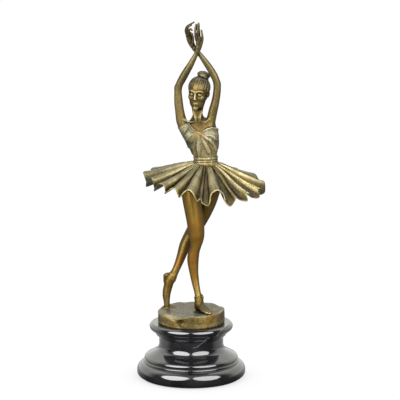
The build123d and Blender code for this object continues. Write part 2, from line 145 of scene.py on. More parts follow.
class Limb:
    """A swept ellipse. Each station is (x, y, z, half width, half depth)."""

    def __init__(self, stations, flat=False):
        path = smooth_path(stations)
        self.centre = path[:, :3]
        self.size = np.maximum(path[:, 3:5], 0.3)
        along = np.gradient(self.centre, axis=0)
        self.step = np.linalg.norm(along, axis=1)
        self.along = along / self.step[:, None]
        self.growth = np.gradient(self.size, axis=0) / self.step[:, None]
        level = np.tile((1.0, 0.0, 0.0), (len(path), 1))
        if flat:
            across = np.cross((0.0, 0.0, 1.0), self.along)
            level = np.where(np.linalg.norm(across, axis=1)[:, None] > 0.1, across, level)
        side = level - self.along * (self.along * level).sum(1)[:, None]
        self.side = side / np.linalg.norm(side, axis=1)[:, None]
        self.front = np.cross(self.along, self.side)
        self.low = self.centre.min(0) - self.size.max()
        self.high = self.centre.max(0) + self.size.max()

    def __call__(self, p, reach=9.0):
        outside = np.linalg.norm(np.maximum(np.maximum(self.low - p, p - self.high), 0), axis=1)
        value = outside + 0.5
        for rows in np.array_split(np.nonzero(outside < reach)[0], max(1, len(p) // 60000)):
            if len(rows):
                value[rows] = self._near(p[rows])
        return value

    def _near(self, p):
        gap = (p**2).sum(1)[:, None] - 2 * p @ self.centre.T + (self.centre**2).sum(1)[None]
        i = gap.argmin(1)
        q = p - self.centre[i]
        ahead = (q * self.along[i]).sum(1)
        slide = np.clip(ahead, -self.step[i], self.step[i])
        slide[(i == 0) & (ahead < 0)] = 0.0
        slide[(i == len(self.centre) - 1) & (ahead > 0)] = 0.0
        size = np.maximum(self.size[i] + self.growth[i] * slide[:, None], 0.25)
        beyond = ahead - slide
        end = size.min(1)
        u, v = (q * self.side[i]).sum(1), (q * self.front[i]).sum(1)
        a, b = size[:, 0], size[:, 1]
        near = np.sqrt((u / a) ** 2 + (v / b) ** 2 + (beyond / end) ** 2)
        slope = np.sqrt((u / a**2) ** 2 + (v / b**2) ** 2 + (beyond / end**2) ** 2)
        return np.where(near < 1e-3, -end, near * (near - 1) / np.maximum(slope, 1e-6))


def cord(points, *radii):
    """A round tapering limb through points, with one radius for each or a first and a last."""
    r = np.interp(np.linspace(0, 1, len(points)), np.linspace(0, 1, len(radii)), radii)
    return Limb([(*point, size, size) for point, size in zip(points, r)], flat=True)


def join_all(p, shapes, k):
    """Several limbs joined softly."""
    value = shapes[0](p)
    for shape in shapes[1:]:
        value = soft_join(value, shape(p), k)
    return value


def with_masses(value, p, masses):
    """A field with ellipsoids joined on in turn, each as (centre, radii, turn in degrees, fillet)."""
    for centre, radii, turn, k in masses:
        value = soft_join(value, ellipsoid(p, centre, radii, turned(*turn) if turn else None), k)
    return value


def half_space(p, point, normal):
    """Negative behind a plane."""
    n = np.asarray(normal, float)
    return (p - np.asarray(point, float)) @ (n / np.linalg.norm(n))


def above(p, height):
    """Negative above a level."""
    return height - p[:, 2]


# --- noise

LATTICE_SIZE = 32
LATTICE = np.random.RandomState(7).rand(*[LATTICE_SIZE] * 3).astype(np.float32)


def noise(p, scale):
    """Smooth random values from -1 to 1 that change over about one scale."""
    q = np.asarray(p, float) / scale
    cell = np.floor(q).astype(int)
    f = q - cell
    f = f * f * (3 - 2 * f)
    total = np.zeros(len(q))
    for corner in range(8):
        o = np.array([corner & 1, corner >> 1 & 1, corner >> 2 & 1])
        w = np.prod(np.where(o, f, 1 - f), axis=1)
        at = (cell + o) % LATTICE_SIZE
        total += w * LATTICE[at[:, 0], at[:, 1], at[:, 2]]
    return total * 2 - 1


# --- meshing


def sample_field(field, low, high, step):
    """The field on a grid, worked out only in the blocks its surface can pass through."""
    block = 6
    count = np.ceil((np.asarray(high, float) - low) / (step * block)).astype(int)
    low = np.asarray(low, float)
    mid = [low[i] + (np.arange(count[i]) + 0.5) * block * step for i in range(3)]
    centres = np.stack(np.meshgrid(*mid, indexing="ij"), -1).reshape(-1, 3)
    rough = field(centres).reshape(count)
    active = np.abs(rough) < block * step * 1.25 + 0.8
    dense = np.where(rough < 0, -99.0, 99.0).repeat(block, 0).repeat(block, 1).repeat(block, 2)
    inner = np.stack(np.meshgrid(*[np.arange(block)] * 3, indexing="ij"), -1).reshape(-1, 3)
    starts = np.argwhere(active) * block
    index = (starts[:, None] + inner[None]).reshape(-1, 3)
    dense[index[:, 0], index[:, 1], index[:, 2]] = field(low + index * step)
    return dense, low


def surface_net(values, low, step):
    """Vertices and quads where the grid changes sign."""
    inside = values < 0
    corners = [(i, j, k) for i in (0, 1) for j in (0, 1) for k in (0, 1)]
    shape = np.array(values.shape) - 1

    def shifted(array, o):
        return array[o[0] : o[0] + shape[0], o[1] : o[1] + shape[1], o[2] : o[2] + shape[2]]

    total = sum(shifted(inside, o).astype(np.int8) for o in corners)
    cells = np.argwhere((total > 0) & (total < 8))
    ids = np.full(shape, -1, np.int64)
    ids[tuple(cells.T)] = np.arange(len(cells))
    place, hits = np.zeros((len(cells), 3)), np.zeros(len(cells))
    for a in corners:
        for axis in range(3):
            if a[axis]:
                continue
            b = tuple(1 if i == axis else a[i] for i in range(3))
            va = values[tuple((cells + a).T)]
            vb = values[tuple((cells + b).T)]
            cross = (va < 0) != (vb < 0)
            t = np.where(cross, va / np.where(cross, va - vb, 1), 0)
            point = np.array(a, float) + t[:, None] * (np.array(b) - np.array(a))
            place[cross] += point[cross]
            hits += cross
    place = low + (cells + place / hits[:, None]) * step
    quads = []
    for axis in range(3):
        u, v = (axis + 1) % 3, (axis + 2) % 3
        first = inside[tuple(slice(0, -1) if i == axis else slice(None) for i in range(3))]
        second = inside[tuple(slice(1, None) if i == axis else slice(None) for i in range(3))]
        edge = np.argwhere(first != second)
        edge = edge[(edge[:, u] > 0) & (edge[:, v] > 0) & (edge[:, u] < shape[u]) & (edge[:, v] < shape[v])]
        eu, ev = np.zeros(3, int), np.zeros(3, int)
        eu[u], ev[v] = 1, 1
        ring = [edge - eu - ev, edge - ev, edge, edge - eu]
        quad = np.stack([ids[tuple(c.T)] for c in ring], 1)
        outward = first[tuple(edge.T)]
        quad[~outward] = quad[~outward][:, ::-1]
        quads.append(quad[(quad >= 0).all(1)])
    return place, np.vstack(quads)


def grid_faces(rows, columns, closed=True):
    """Quads over rows of points, each row a ring; if closed, the last row joins the first."""
    row, column = np.meshgrid(np.arange(rows if closed else rows - 1), np.arange(columns), indexing="ij")
    below, after = (row + 1) % rows, (column + 1) % columns
    quads = [row * columns + column, below * columns + column, below * columns + after, row * columns + after]
    return np.stack(quads, -1).reshape(-1, 4)


def settle(field, points, step):
    """Points moved onto the field's surface."""
    e = step * 0.3
    for _ in range(2):
        value = field(points)
        slope = np.stack([field(points + np.eye(3)[i] * e) - value for i in range(3)], 1) / e
        size = (slope**2).sum(1)
        move = slope * (value / np.maximum(size, 0.05))[:, None]
        length = np.linalg.norm(move, axis=1)
        move *= np.minimum(1, step * 0.6 / np.maximum(length, 1e-9))[:, None]
        points = points - move
    return points


def crest_values(points, faces, rounds):
    """How far each point stands out (positive) or lies in a hollow (negative), in mm."""
    edges = np.vstack([faces[:, [i, (i + 1) % faces.shape[1]]] for i in range(faces.shape[1])])
    edges = np.vstack([edges, edges[:, ::-1]])
    count = np.bincount(edges[:, 0], minlength=len(points)).astype(float)
    count = np.maximum(count, 1)[:, None]
    a, b, c = points[faces[:, 0]], points[faces[:, 1]], points[faces[:, 2]]
    face_normal = np.cross(b - a, c - a)
    normal = np.zeros_like(points)
    for i in range(faces.shape[1]):
        for axis in range(3):
            normal[:, axis] += np.bincount(faces[:, i], face_normal[:, axis], minlength=len(points))
    normal /= np.maximum(np.linalg.norm(normal, axis=1), 1e-9)[:, None]
    soft = points.copy()
    for _ in range(rounds):
        total = [np.bincount(edges[:, 0], soft[edges[:, 1], axis], minlength=len(points)) for axis in range(3)]
        mean = np.stack(total, 1)
        soft = 0.4 * soft + 0.6 * mean / count
    return ((points - soft) * normal).sum(1)


def make_piece(name, node, slot, points, faces, crest, cloth=None):
    """A finished piece: points in design mm, with crest (-1 to 1) and cloth (0 to 1) values for the patina."""
    mesh = bpy.data.meshes.new(name)
    mesh.vertices.add(len(points))
    mesh.vertices.foreach_set("co", (points * MM).astype(np.float32).ravel())
    width = faces.shape[1]
    mesh.loops.add(faces.size)
    mesh.loops.foreach_set("vertex_index", faces.astype(np.int32).ravel())
    mesh.polygons.add(len(faces))
    mesh.polygons.foreach_set("loop_start", np.arange(0, faces.size, width, dtype=np.int32))
    mesh.polygons.foreach_set("loop_total", np.full(len(faces), width, np.int32))
    mesh.update(calc_edges=True)
    mesh.validate()
    mesh.polygons.foreach_set("use_smooth", np.ones(len(mesh.polygons), bool))
    if cloth is None:
        cloth = np.full(len(points), float(slot == "bronze_cloth"))
    for label, values in (("crest", np.clip(crest, -1, 1)), ("cloth", cloth)):
        mesh.attributes.new(label, "FLOAT", "POINT").data.foreach_set("value", values.astype(np.float32))
    piece = bpy.data.objects.new(name, mesh)
    bpy.context.scene.collection.objects.link(piece)
    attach(piece, "root")
    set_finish(piece, slot)
    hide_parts(node)
    return piece


CREST_REACH = 1.2  # mm over which a surface counts as a crest or a hollow


def field_crest(shape, points, step):
    """Crest values of points on a field: how fast the surface falls away all round."""
    e = step * 0.3
    value = shape(points)
    slope = np.stack([shape(points + np.eye(3)[i] * e) - value for i in range(3)], 1) / e
    normal = slope / np.maximum(np.linalg.norm(slope, axis=1), 1e-6)[:, None]
    level = np.where(np.abs(normal[:, 2:]) < 0.9, (0.0, 0.0, 1.0), (1.0, 0.0, 0.0))
    first = np.cross(normal, level)
    first /= np.linalg.norm(first, axis=1)[:, None]
    second = np.cross(normal, first)
    fall = sum(shape(points + CREST_REACH * way) - value for way in (first, -first, second, -second))
    return fall / (4 * CREST_REACH)


def cast(name, shape, cut, node, slot, step, margin, wear=0.16, cloth=None, calm=0.0):
    """A piece made from a distance field and its cut, within its CAD node's box and a margin.

    wear is how sharp a ridge has to be to be rubbed fully bright, calm how far that is damped on cloth.
    """

    def field(p):
        return np.maximum(shape(p), cut(p))

    low, high = (np.array(corner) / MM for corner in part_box(node))
    values, origin = sample_field(field, low - margin, high + margin, step)
    points, faces = surface_net(values, origin, step)
    points = settle(field, points, step)
    crest = (field_crest(shape, points, step) - 0.05) / wear
    covered = None
    if cloth:
        covered = cloth(points)
        crest = crest * (1 - calm * covered)
    return make_piece(name, node, slot, points, faces, crest, covered)


# --- skeleton of the figure

RIGHT_LEG = Limb([
    (3, 1, 232, 11, 11), (0.8, -1, 220, 11.6, 12.2), (0.2, -3, 210, 11.4, 12.2),
    (1.1, -5, 199, 10.7, 11.7), (2.5, -6.2, 188, 9.9, 11), (4.2, -6.8, 177, 9.5, 10.2),
    (5.4, -7.2, 167, 9.1, 9.4), (6, -7, 159.8, 8.5, 8.8), (5.9, -5.8, 154, 7.4, 8.1),
    (5, -4.6, 148, 6.2, 7.6), (3.6, -3.2, 142, 5.9, 7.6), (2.4, -2, 136, 6.3, 7.9),
    (2, -1.6, 130, 6.2, 7.6), (2.3, -1.9, 124.5, 5.7, 6.9), (2.8, -2.4, 119, 5.1, 6),
    (3.6, -3, 113, 4.6, 5.2), (4.6, -3.9, 107, 4.2, 4.6), (5.8, -5, 101, 3.8, 4.3),
    (7, -6, 95.5, 3.6, 4.2), (8.2, -7, 90, 3.9, 4.7), (8.8, -7.6, 84, 4.4, 5.2),
])
LEFT_LEG = Limb([
    (19.6, 1.5, 232, 11, 11), (21.8, 3, 220, 11.2, 11.8), (21.4, 6, 210, 10.9, 11.6),
    (18.6, 10.4, 197, 10.2, 10.9), (14.4, 14.2, 185, 9.6, 10.2), (9.6, 17, 174, 8.9, 9.5),
    (4.6, 18.8, 164, 8.1, 8.9), (0, 19.4, 156.5, 7.2, 8.1), (-4, 19, 150, 6.4, 7.6),
    (-6.9, 17.8, 144, 6.1, 7.4), (-8.9, 16.4, 138, 5.7, 7), (-10.9, 14.9, 132, 5.2, 6.4),
    (-13.4, 13.2, 125.5, 4.6, 5.4), (-16.2, 11.7, 119, 4.2, 4.6), (-18.8, 10.6, 113.5, 4.3, 4.4),
    (-21.3, 9.6, 108, 4.5, 4.5),
])
TORSO = Limb([
    (16.1, 0.2, 226, 16, 12.4), (16.1, 0, 236, 11.9, 9.9), (16.1, 0, 243, 11.5, 9.7),
    (15.7, -0.2, 248, 12.2, 10.2), (14.8, -0.4, 253, 14.5, 11.1), (13.9, -0.6, 258.5, 16.1, 11.9),
    (12.4, -0.7, 264, 17.1, 12.2), (11.2, -0.5, 269.5, 17.6, 11.9), (9.8, 0.2, 275, 17.2, 11),
    (8.6, 0.9, 280, 15.6, 9.6), (7.8, 1.3, 284, 12.4, 8), (7.3, 1.5, 287.5, 8.2, 6.6),
    (7.1, 1.4, 291, 5.8, 5.7), (6.9, 1, 296, 5.2, 5.4), (7.1, 0.6, 303, 5.3, 5.8),
])
RIGHT_ARM = Limb([
    (-3.6, 1.6, 271, 4.6, 6.6), (-7.6, 1.4, 278, 5.6, 7), (-10.3, 0.6, 284.5, 5.8, 6.4),
    (-11.7, -0.4, 291, 5.3, 5.5), (-12.6, -1.4, 297, 4.9, 5), (-13.4, -2.4, 303, 4.8, 4.8),
    (-13.9, -3.4, 309, 4.6, 4.6), (-14.2, -4.3, 315, 4.2, 4.3), (-14, -5.2, 320.5, 4, 4.1),
    (-12.6, -6, 326, 4, 4.1), (-10.1, -6.7, 331, 4.2, 4.1), (-7.1, -7.3, 336.5, 4.2, 3.9),
    (-3.9, -7.9, 342, 3.9, 3.6), (-0.7, -8.5, 347.5, 3.5, 3.2), (2.2, -9.1, 353, 3, 2.8),
    (4.9, -9.7, 358.3, 2.6, 2.3), (6.9, -10.2, 362.6, 2.4, 2), (7.8, -10.5, 366, 2.7, 1.9),
])
LEFT_ARM = Limb([
    (17.6, 1.6, 271, 4.6, 6.6), (19.8, 1.4, 278, 5.2, 6.9), (21.3, 0.7, 285, 5.2, 6.3),
    (22.6, 0, 291, 5, 5.5), (23.9, -0.8, 297, 4.9, 5), (25.4, -1.4, 303, 4.6, 4.8),
    (26.7, -1.9, 309, 4.3, 4.5), (27.6, -2.4, 315, 4.2, 4.3), (28.1, -2.8, 320.5, 4.1, 4.2),
    (27.9, -3.2, 325.5, 4, 4.1), (26.6, -3.7, 330.8, 3.9, 4), (24.2, -4.2, 336, 4, 3.9),
    (21.2, -4.8, 341.3, 3.8, 3.6), (17.7, -5.4, 346.7, 3.5, 3.3), (14, -5.9, 352, 3.1, 2.9),
    (10.2, -6.4, 357.2, 2.6, 2.4), (6.6, -6.8, 361.4, 2.3, 2.1), (3.6, -7, 364.6, 2.4, 2),
])

# shoulder cuts: a point and the way the arm leaves
RIGHT_SHOULDER = ((-7.2, 0.8, 282), (-0.52, -0.12, 0.84))
LEFT_SHOULDER = ((20.6, 0.8, 282.5), (0.52, -0.06, 0.85))

RIGHT_BREAST = ((0.6, -7.2, 269.5), (7.6, 6.6, 7))
BUST = [  # the left breast, the shoulder muscles that lift with the arms, the shoulder blades
    ((21, -6.6, 269.5), (7.4, 6.6, 7.2), None, 3),
    ((-5.6, 2.6, 271.4), (4, 6.4, 12), (0, -25, 0), 4),
    ((23.2, 2.4, 268), (4.8, 6.6, 11), (0, -4, 0), 4),
    ((0, 6.2, 277), (6.2, 3.6, 7.2), (8, -12, 0), 3),
    ((15.6, 6.2, 277), (6.2, 3.6, 7.2), (8, 12, 0), 3),
]
SPINE = ((11.5, 13.4, 262), (1.6, 2.6, 24))
COLLAR_BONES = [
    cord([(5.2, -4.6, 285.2), (-0.4, -5.4, 284.6), (-6.2, -3.4, 286.2)], 0.9, 0.8),
    cord([(9.2, -4.6, 285.2), (14.6, -5.4, 284.8), (19.6, -3.2, 286.6)], 0.9, 0.8),
]
NECK_CORDS = [
    cord([(5.6, -4.4, 285.6), (3.2, -2.4, 293), (1.6, 1.6, 303)], 1.1, 1.2, 1.5),
    cord([(8.8, -4.4, 285.6), (10.4, -2.6, 293), (12.6, 1.4, 303)], 1.1, 1.2, 1.5),
]


def chest(p):
    """Chest, back and the root of the neck, without the arms."""
    value = soft_join(TORSO(p), with_masses(ellipsoid(p, *RIGHT_BREAST), p, BUST), 4.0)
    value = soft_join(value, join_all(p, COLLAR_BONES, 1.0), 1.6)
    value = soft_join(value, join_all(p, NECK_CORDS, 1.0), 2.0)
    return soft_cut(value, ellipsoid(p, *SPINE, turned(0, -16, 0)), 3.0)


ARM_ROOT = 3.2  # fillet between an arm and the chest


# --- arms and hands

RIGHT_HAND = [
    Limb([
        (6.9, -10.2, 362.6, 2.4, 2), (8.2, -10.6, 367.5, 3.2, 1.9), (8.6, -10.6, 372, 3.7, 1.8),
        (7.9, -10.3, 376.5, 3.2, 1.6),
    ]),
    cord([(6, -10.7, 375.5), (4.6, -11.6, 380.5), (4.2, -11.6, 385.6), (5.3, -10.6, 391)], 1.35, 1.2, 0.95),
    cord([(7.6, -10.3, 376.5), (7.2, -10.9, 382.4), (7, -10.5, 388), (8, -9.2, 392.2)], 1.35, 1.2, 0.95),
    cord([(8.9, -9.8, 376), (8.6, -9.6, 381.5), (8.2, -8.8, 386.6), (8.4, -7.6, 390.4)], 1.3, 1.15, 0.9),
    cord([(5.4, -9.6, 374), (4.4, -9.6, 379), (4.6, -8.8, 383.6), (5.4, -7.6, 387.2)], 1.15, 1.05, 0.8),
    cord([(9.6, -10.8, 367.5), (11.5, -11.6, 371.6), (12.1, -12.2, 377.4), (11, -12, 384.8)],
         1.7, 1.3, 1.2, 0.9),
]
LEFT_HAND = [
    Limb([
        (4.4, -7, 363.6, 2.3, 2), (1.4, -7, 368.2, 3, 2.1), (-0.9, -6.9, 373.4, 3.6, 2),
        (-2.7, -6.7, 379, 3.3, 1.8),
    ]),
    cord([(-4.4, -6.6, 378.8), (-5.8, -6.6, 384.2), (-3.8, -7.4, 388.8), (2.9, -8.8, 393.2)],
         1.45, 1.35, 1.2, 0.85),
    cord([(-3.2, -7.4, 379.6), (-4.4, -7.9, 385), (-2.8, -9, 388.6), (0.2, -10, 390)], 1.4, 1.25, 0.85),
    cord([(-1.8, -7.8, 379), (-2.4, -8.9, 383.6), (-0.8, -10, 386), (0.9, -10.2, 384.6)],
         1.35, 1.2, 0.85),
    cord([(-0.6, -7.8, 376.6), (0.2, -9, 380.4), (1.6, -9.6, 380.8)], 1.2, 1.1, 0.8),
    cord([(0.6, -8.2, 368.4), (2, -9.6, 373), (1.6, -10.6, 378.4), (-0.4, -10.8, 382.4)],
         1.6, 1.3, 1.15, 0.85),
]
ELBOWS = [((-15.6, -4.2, 322), (2.4, 2.6, 3.4)), ((29, -2, 326), (2.3, 2.6, 3.4))]


RIGHT_OF_NECK = -2.2  # below ABOVE_HEAD the arms stay outside these two x values
LEFT_OF_NECK = 15.2
ABOVE_HEAD = 330.0


def arm(p, limb, elbow, hand):
    value = soft_join(chest(p), soft_join(limb(p), ellipsoid(p, *elbow), 2.4), ARM_ROOT)
    return soft_join(value, join_all(p, hand, 0.9), 1.6)


def right_arm(p):
    return arm(p, RIGHT_ARM, ELBOWS[0], RIGHT_HAND)


def left_arm(p):
    return arm(p, LEFT_ARM, ELBOWS[1], LEFT_HAND)


def arm_cut(p, shoulder, beside_neck):
    return np.maximum(-half_space(p, *shoulder), np.minimum(beside_neck, above(p, ABOVE_HEAD)))


def right_arm_cut(p):
    return arm_cut(p, RIGHT_SHOULDER, p[:, 0] - RIGHT_OF_NECK)


def left_arm_cut(p):
    return arm_cut(p, LEFT_SHOULDER, LEFT_OF_NECK - p[:, 0])


# --- bodice


def front_of(points):
    """(x, z) pairs set on the front of the chest, as a smooth (x, y, z) path."""
    path = smooth_path([(x, 0.0, z) for x, z in points], spacing=1.5)
    near, far = np.full(len(path), -45.0), np.full(len(path), 0.0)
    for _ in range(22):
        path[:, 1] = (near + far) / 2
        hit = chest(path) < 0
        far, near = np.where(hit, path[:, 1], far), np.where(hit, near, path[:, 1])
    return path


def fold(points, *radii, sink=0.35):
    """A fold of cloth lying on the front of the chest."""
    path = front_of(points)
    path[:, 1] += sink * max(radii)
    return cord(path, *radii)


NECKLINE = [
    (-9, 289), (-5.6, 286.6), (-1, 281.6), (3.4, 277.6), (8.4, 275), (13, 276.4), (18, 278.8),
    (23, 279.8), (29, 277.6),
]
FOLDS = [
    fold([(-5.2, 286), (-1, 281.6), (3.4, 277.8), (8, 275.2)], 0.8, 0.9, 1.1, sink=0.2),
    fold([(8.8, 274.8), (13, 275.8), (18, 278), (23.4, 278.8), (27.6, 276.2)],
         1.2, 1.7, 2.3, 2.2, sink=0.1),
    fold([(12.4, 271.6), (17, 271), (22.4, 270.4), (28.2, 265)], 0.8, 1.3, 1.5, 1.2, sink=0.25),
    fold([(10.6, 272), (16.4, 268.4), (22.4, 263.4), (26, 256), (26.8, 247)],
         1.2, 1.9, 2.3, 2, 0.6, sink=0.1),
    fold([(10.8, 270.6), (13.2, 265), (17, 258), (20, 252), (21.2, 246.4)],
         0.9, 1.5, 2.9, 2.8, 0.8, sink=0.2),
    fold([(8, 271.6), (7.8, 264), (8.2, 255), (8.8, 246.4)], 1.5, 2.3, 2.8, 1.2, sink=0.1),
    fold([(7.6, 271.4), (4, 264.6), (2.6, 256.6), (4.4, 247)], 1, 1.3, 0.8, sink=0.45),
    fold([(6.8, 273.4), (0.6, 271.6), (-4.6, 266), (-3.4, 256)], 1, 1.3, 1, 0.6, sink=0.45),
]
KNOT = fold([(7.4, 274.8), (8.4, 273.4), (9.2, 271.8)], 1.7, 1.9, 1.5, sink=0)
BACK_EDGE = 271.0  # height of the bodice's edge at the back, and how far the strap rises over it
STRAP_RISE = 13.0
BODICE_THICKNESS = 0.55
CLOTH_CALM = 0.45  # how far the bodice's folds are less rubbed than bare ridges


def neckline_height(p):
    """Height of the bodice's top edge at each point, lower at the back than at the front."""
    x, z = np.array(NECKLINE).T
    front = np.interp(p[:, 0], x, z)
    strap = np.maximum(0, 1 - np.abs(p[:, 0] + 4.0) / 3.0)
    back = BACK_EDGE + STRAP_RISE * np.clip(strap * 2, 0, 1)
    share = np.clip((p[:, 1] + 2.0) / 6.0, 0, 1)
    return front * (1 - share) + back * share


SEAM_LAP = 0.8  # how far the chest runs on under the arms and the head, so that no seam shows
SEAM_SINK = 0.07


def torso_layers(p):
    """Bare skin and the cloth over it."""
    skin = soft_join(chest(p), RIGHT_ARM(p), ARM_ROOT)
    skin = soft_join(skin, LEFT_ARM(p), ARM_ROOT)
    cloth = soft_join(skin - BODICE_THICKNESS, join_all(p, FOLDS, 0.8), 1.0)
    cloth = soft_join(cloth, KNOT(p), 0.8)
    gathers = 0.22 * noise(p * (1.0, 1.0, 0.28), 2.1)
    cloth = np.maximum(cloth + gathers, 0.75 * (p[:, 2] - neckline_height(p)))
    return skin, cloth


def past_seams(p):
    """How far a point is past the seams with the arms and the head."""
    right = np.minimum(half_space(p, *RIGHT_SHOULDER), RIGHT_OF_NECK - p[:, 0])
    left = np.minimum(half_space(p, *LEFT_SHOULDER), p[:, 0] - LEFT_OF_NECK)
    return np.maximum(np.maximum(right, left), p[:, 2] - NECK_CUT)


def torso(p):
    skin, cloth = torso_layers(p)
    return soft_join(skin, cloth, 0.35) + SEAM_SINK * np.clip((past_seams(p) + 0.2) / 0.4, 0, 1)


def torso_cut(p):
    return np.maximum(past_seams(p) - SEAM_LAP, above(p, WAIST_SEAM - 1.0))


def on_cloth(p):
    """1 on the bodice, 0 on bare skin."""
    skin, cloth = torso_layers(p)
    return np.clip((skin - cloth) / 0.3, 0, 1)


# --- hips, legs and feet

PLINTH_SOLE = PLINTH_TOP - 1.0  # the feet are cast slightly into the plinth

HIPS = [  # hidden by the skirt except from below
    ((11.4, 1.6, 222), (21.5, 12.4, 11), None, 6),
    ((2.4, 7.6, 217), (9.4, 8.6, 9.2), None, 4),
    ((20.6, 9, 217.6), (9.2, 8.4, 9.2), None, 4),
]
RIGHT_THIGH = [  # kneecap, calf, thigh
    ((5.9, -13.6, 161.2), (3.5, 2.4, 4.4), None, 2.6),
    ((1.2, 1.6, 131), (4, 5.6, 12), (0, -3, 0), 3),
    ((3.4, -12, 176), (3.6, 4.6, 14), (-4, -10, 0), 4),
]
LEFT_THIGH = [  # kneecap, calf
    ((2.4, 12.2, 158), (3.6, 2.6, 4.4), (0, -40, 0), 2.6),
    ((-7.4, 20.4, 140), (4, 4.6, 11), (0, 24, 0), 4),
]
SHIN = cord([(4.6, -9.6, 150), (3.6, -7.6, 136), (4.4, -4.6, 114)], 1.4, 1.2, 0.9)


def hips(p):
    """The pelvis with its glutes."""
    return with_masses(TORSO(p), p, HIPS)


def right_thigh(p):
    return soft_join(with_masses(RIGHT_LEG(p), p, RIGHT_THIGH), SHIN(p), 3.0)


def left_thigh(p):
    return with_masses(LEFT_LEG(p), p, LEFT_THIGH)


RIGHT_FOOT = [
    cord([(8.8, -7.2, 88), (7.8, -5, 82), (7, -3.6, 78.4)], 4.1, 3.9, 3.6),
    Limb([
        (8.4, -6.4, 82, 4.2, 5.6), (11.6, -11.6, 80.4, 4.6, 4.8), (15.2, -17.4, 78.3, 5.3, 3.2),
        (18.6, -23.2, 77.2, 4.4, 2.2), (20.6, -26.6, 76.7, 2.4, 1.5),
    ], flat=True),
]
RIGHT_ANKLE = [((4.9, -5.8, 89.4), (1.6, 1.8, 1.7)), ((12.2, -8.4, 90.4), (1.6, 1.8, 1.7))]
SLIPPER_EDGE = cord([
    (4.4, -3.4, 92.2), (5, -9.6, 92), (9, -12.2, 91.6), (12.4, -9, 92.2), (11.6, -4.2, 92.8),
    (7.6, -2, 92.8), (4.4, -3.4, 92.2),
], 0.55)
SLIPPER_SIDES = [
    cord([(12.6, -5.6, 84), (16.4, -12.6, 80.6), (20, -19.6, 79.2), (20.6, -24.6, 78.2)], 0.7, 0.8, 0.6),
    cord([(14.4, -7.6, 79), (18.6, -14, 77.2), (22.4, -21.6, 76.6), (21.6, -26.4, 76.4)], 0.7, 0.9, 0.6),
]
LEFT_FOOT = [
    cord([(-21.3, 9.6, 108), (-26.4, 11.2, 111.2)], 3.9, 3),
    cord([(-29, 11.8, 110.6), (-28.4, 10.6, 105)], 1.9, 2.4),
    Limb([
        (-21, 9.4, 111, 4.4, 4.6), (-23.8, 9.2, 105.5, 5.2, 4.8), (-25.5, 8.8, 99.5, 5, 4.7),
        (-26.9, 8, 93.5, 4.7, 4.6), (-27.4, 7.2, 88, 4.2, 4.4), (-27.1, 6.6, 83, 3.5, 4.2),
        (-26.8, 6.4, 76, 3.1, 4),
    ]),
]
TOES = ((-24, 7.4, 74.6), (9, 6.4, 3.2))  # the toes of the crossed foot, spread flat on the ground


def supporting_leg(p):
    value = soft_join(right_thigh(p), join_all(p, RIGHT_FOOT, 2.4), 2.6)
    value = soft_join(value, soft_join(ellipsoid(p, *RIGHT_ANKLE[0]), ellipsoid(p, *RIGHT_ANKLE[1]), 1.0), 1.6)
    value = soft_join(value, SLIPPER_EDGE(p), 0.6)
    value = soft_join(value, join_all(p, SLIPPER_SIDES, 0.4), 0.7)
    return soft_join(value, hips(p), 5.0)


def crossed_leg(p):
    value = soft_join(left_thigh(p), join_all(p, LEFT_FOOT, 2.2), 2.2)
    value = soft_join(value, ellipsoid(p, *TOES), 1.2)
    return soft_join(value, hips(p), 5.0)


def leg_cut(p):
    return np.maximum(p[:, 2] - HIP_CUT, above(p, PLINTH_SOLE))


def pelvis(p):
    return soft_join(soft_join(right_thigh(p), left_thigh(p), 3.0), hips(p), 5.0)


def pelvis_cut(p):
    return np.maximum(above(p, HIP_CUT), p[:, 2] - (WAIST_SEAM - 8.0))


# --- head, to general proportions

HEAD_PLACE = (7.9, -0.6, 315.6)
HEAD_TURN = turned(4, 3, -17)
HEAD_SIZE = 1.08


def mirrored(p):
    """Points folded onto the head's left side, so that a feature is made on both."""
    return np.column_stack([np.abs(p[:, 0]), p[:, 1], p[:, 2]])


BROW = cord([(1.9, -10.9, 3), (4.4, -10.6, 3.9), (7.2, -8.6, 3)], 0.7, 0.7, 0.5)
NOSE = cord([(0, -10.7, 2.6), (0, -11.9, -0.8), (0, -13.2, -3.8)], 0.9, 1, 1.2)
LOWER_LIP = cord([(0, -11.5, -9.7), (2.2, -10.7, -9.4)], 0.8, 0.4)
UPPER_LIP = cord([(0, -11.6, -8.5), (0.9, -11.6, -8.35), (2.4, -10.7, -8.8)], 0.65, 0.7, 0.4)
MOUTH = cord([(-2.7, -11.2, -9), (0, -12.4, -9.1), (2.7, -11.2, -9)], 0.18, 0.22, 0.18)
LASH_LINE = cord([(2.1, -10.9, -0.6), (4.1, -11.5, -1.1), (6.2, -10.2, -0.5)], 0.16, 0.2, 0.16)
LID_CREASE = cord([(2, -10.9, 1.1), (4.1, -11.2, 1.9), (6.4, -9.9, 1.1)], 0.16, 0.2, 0.16)


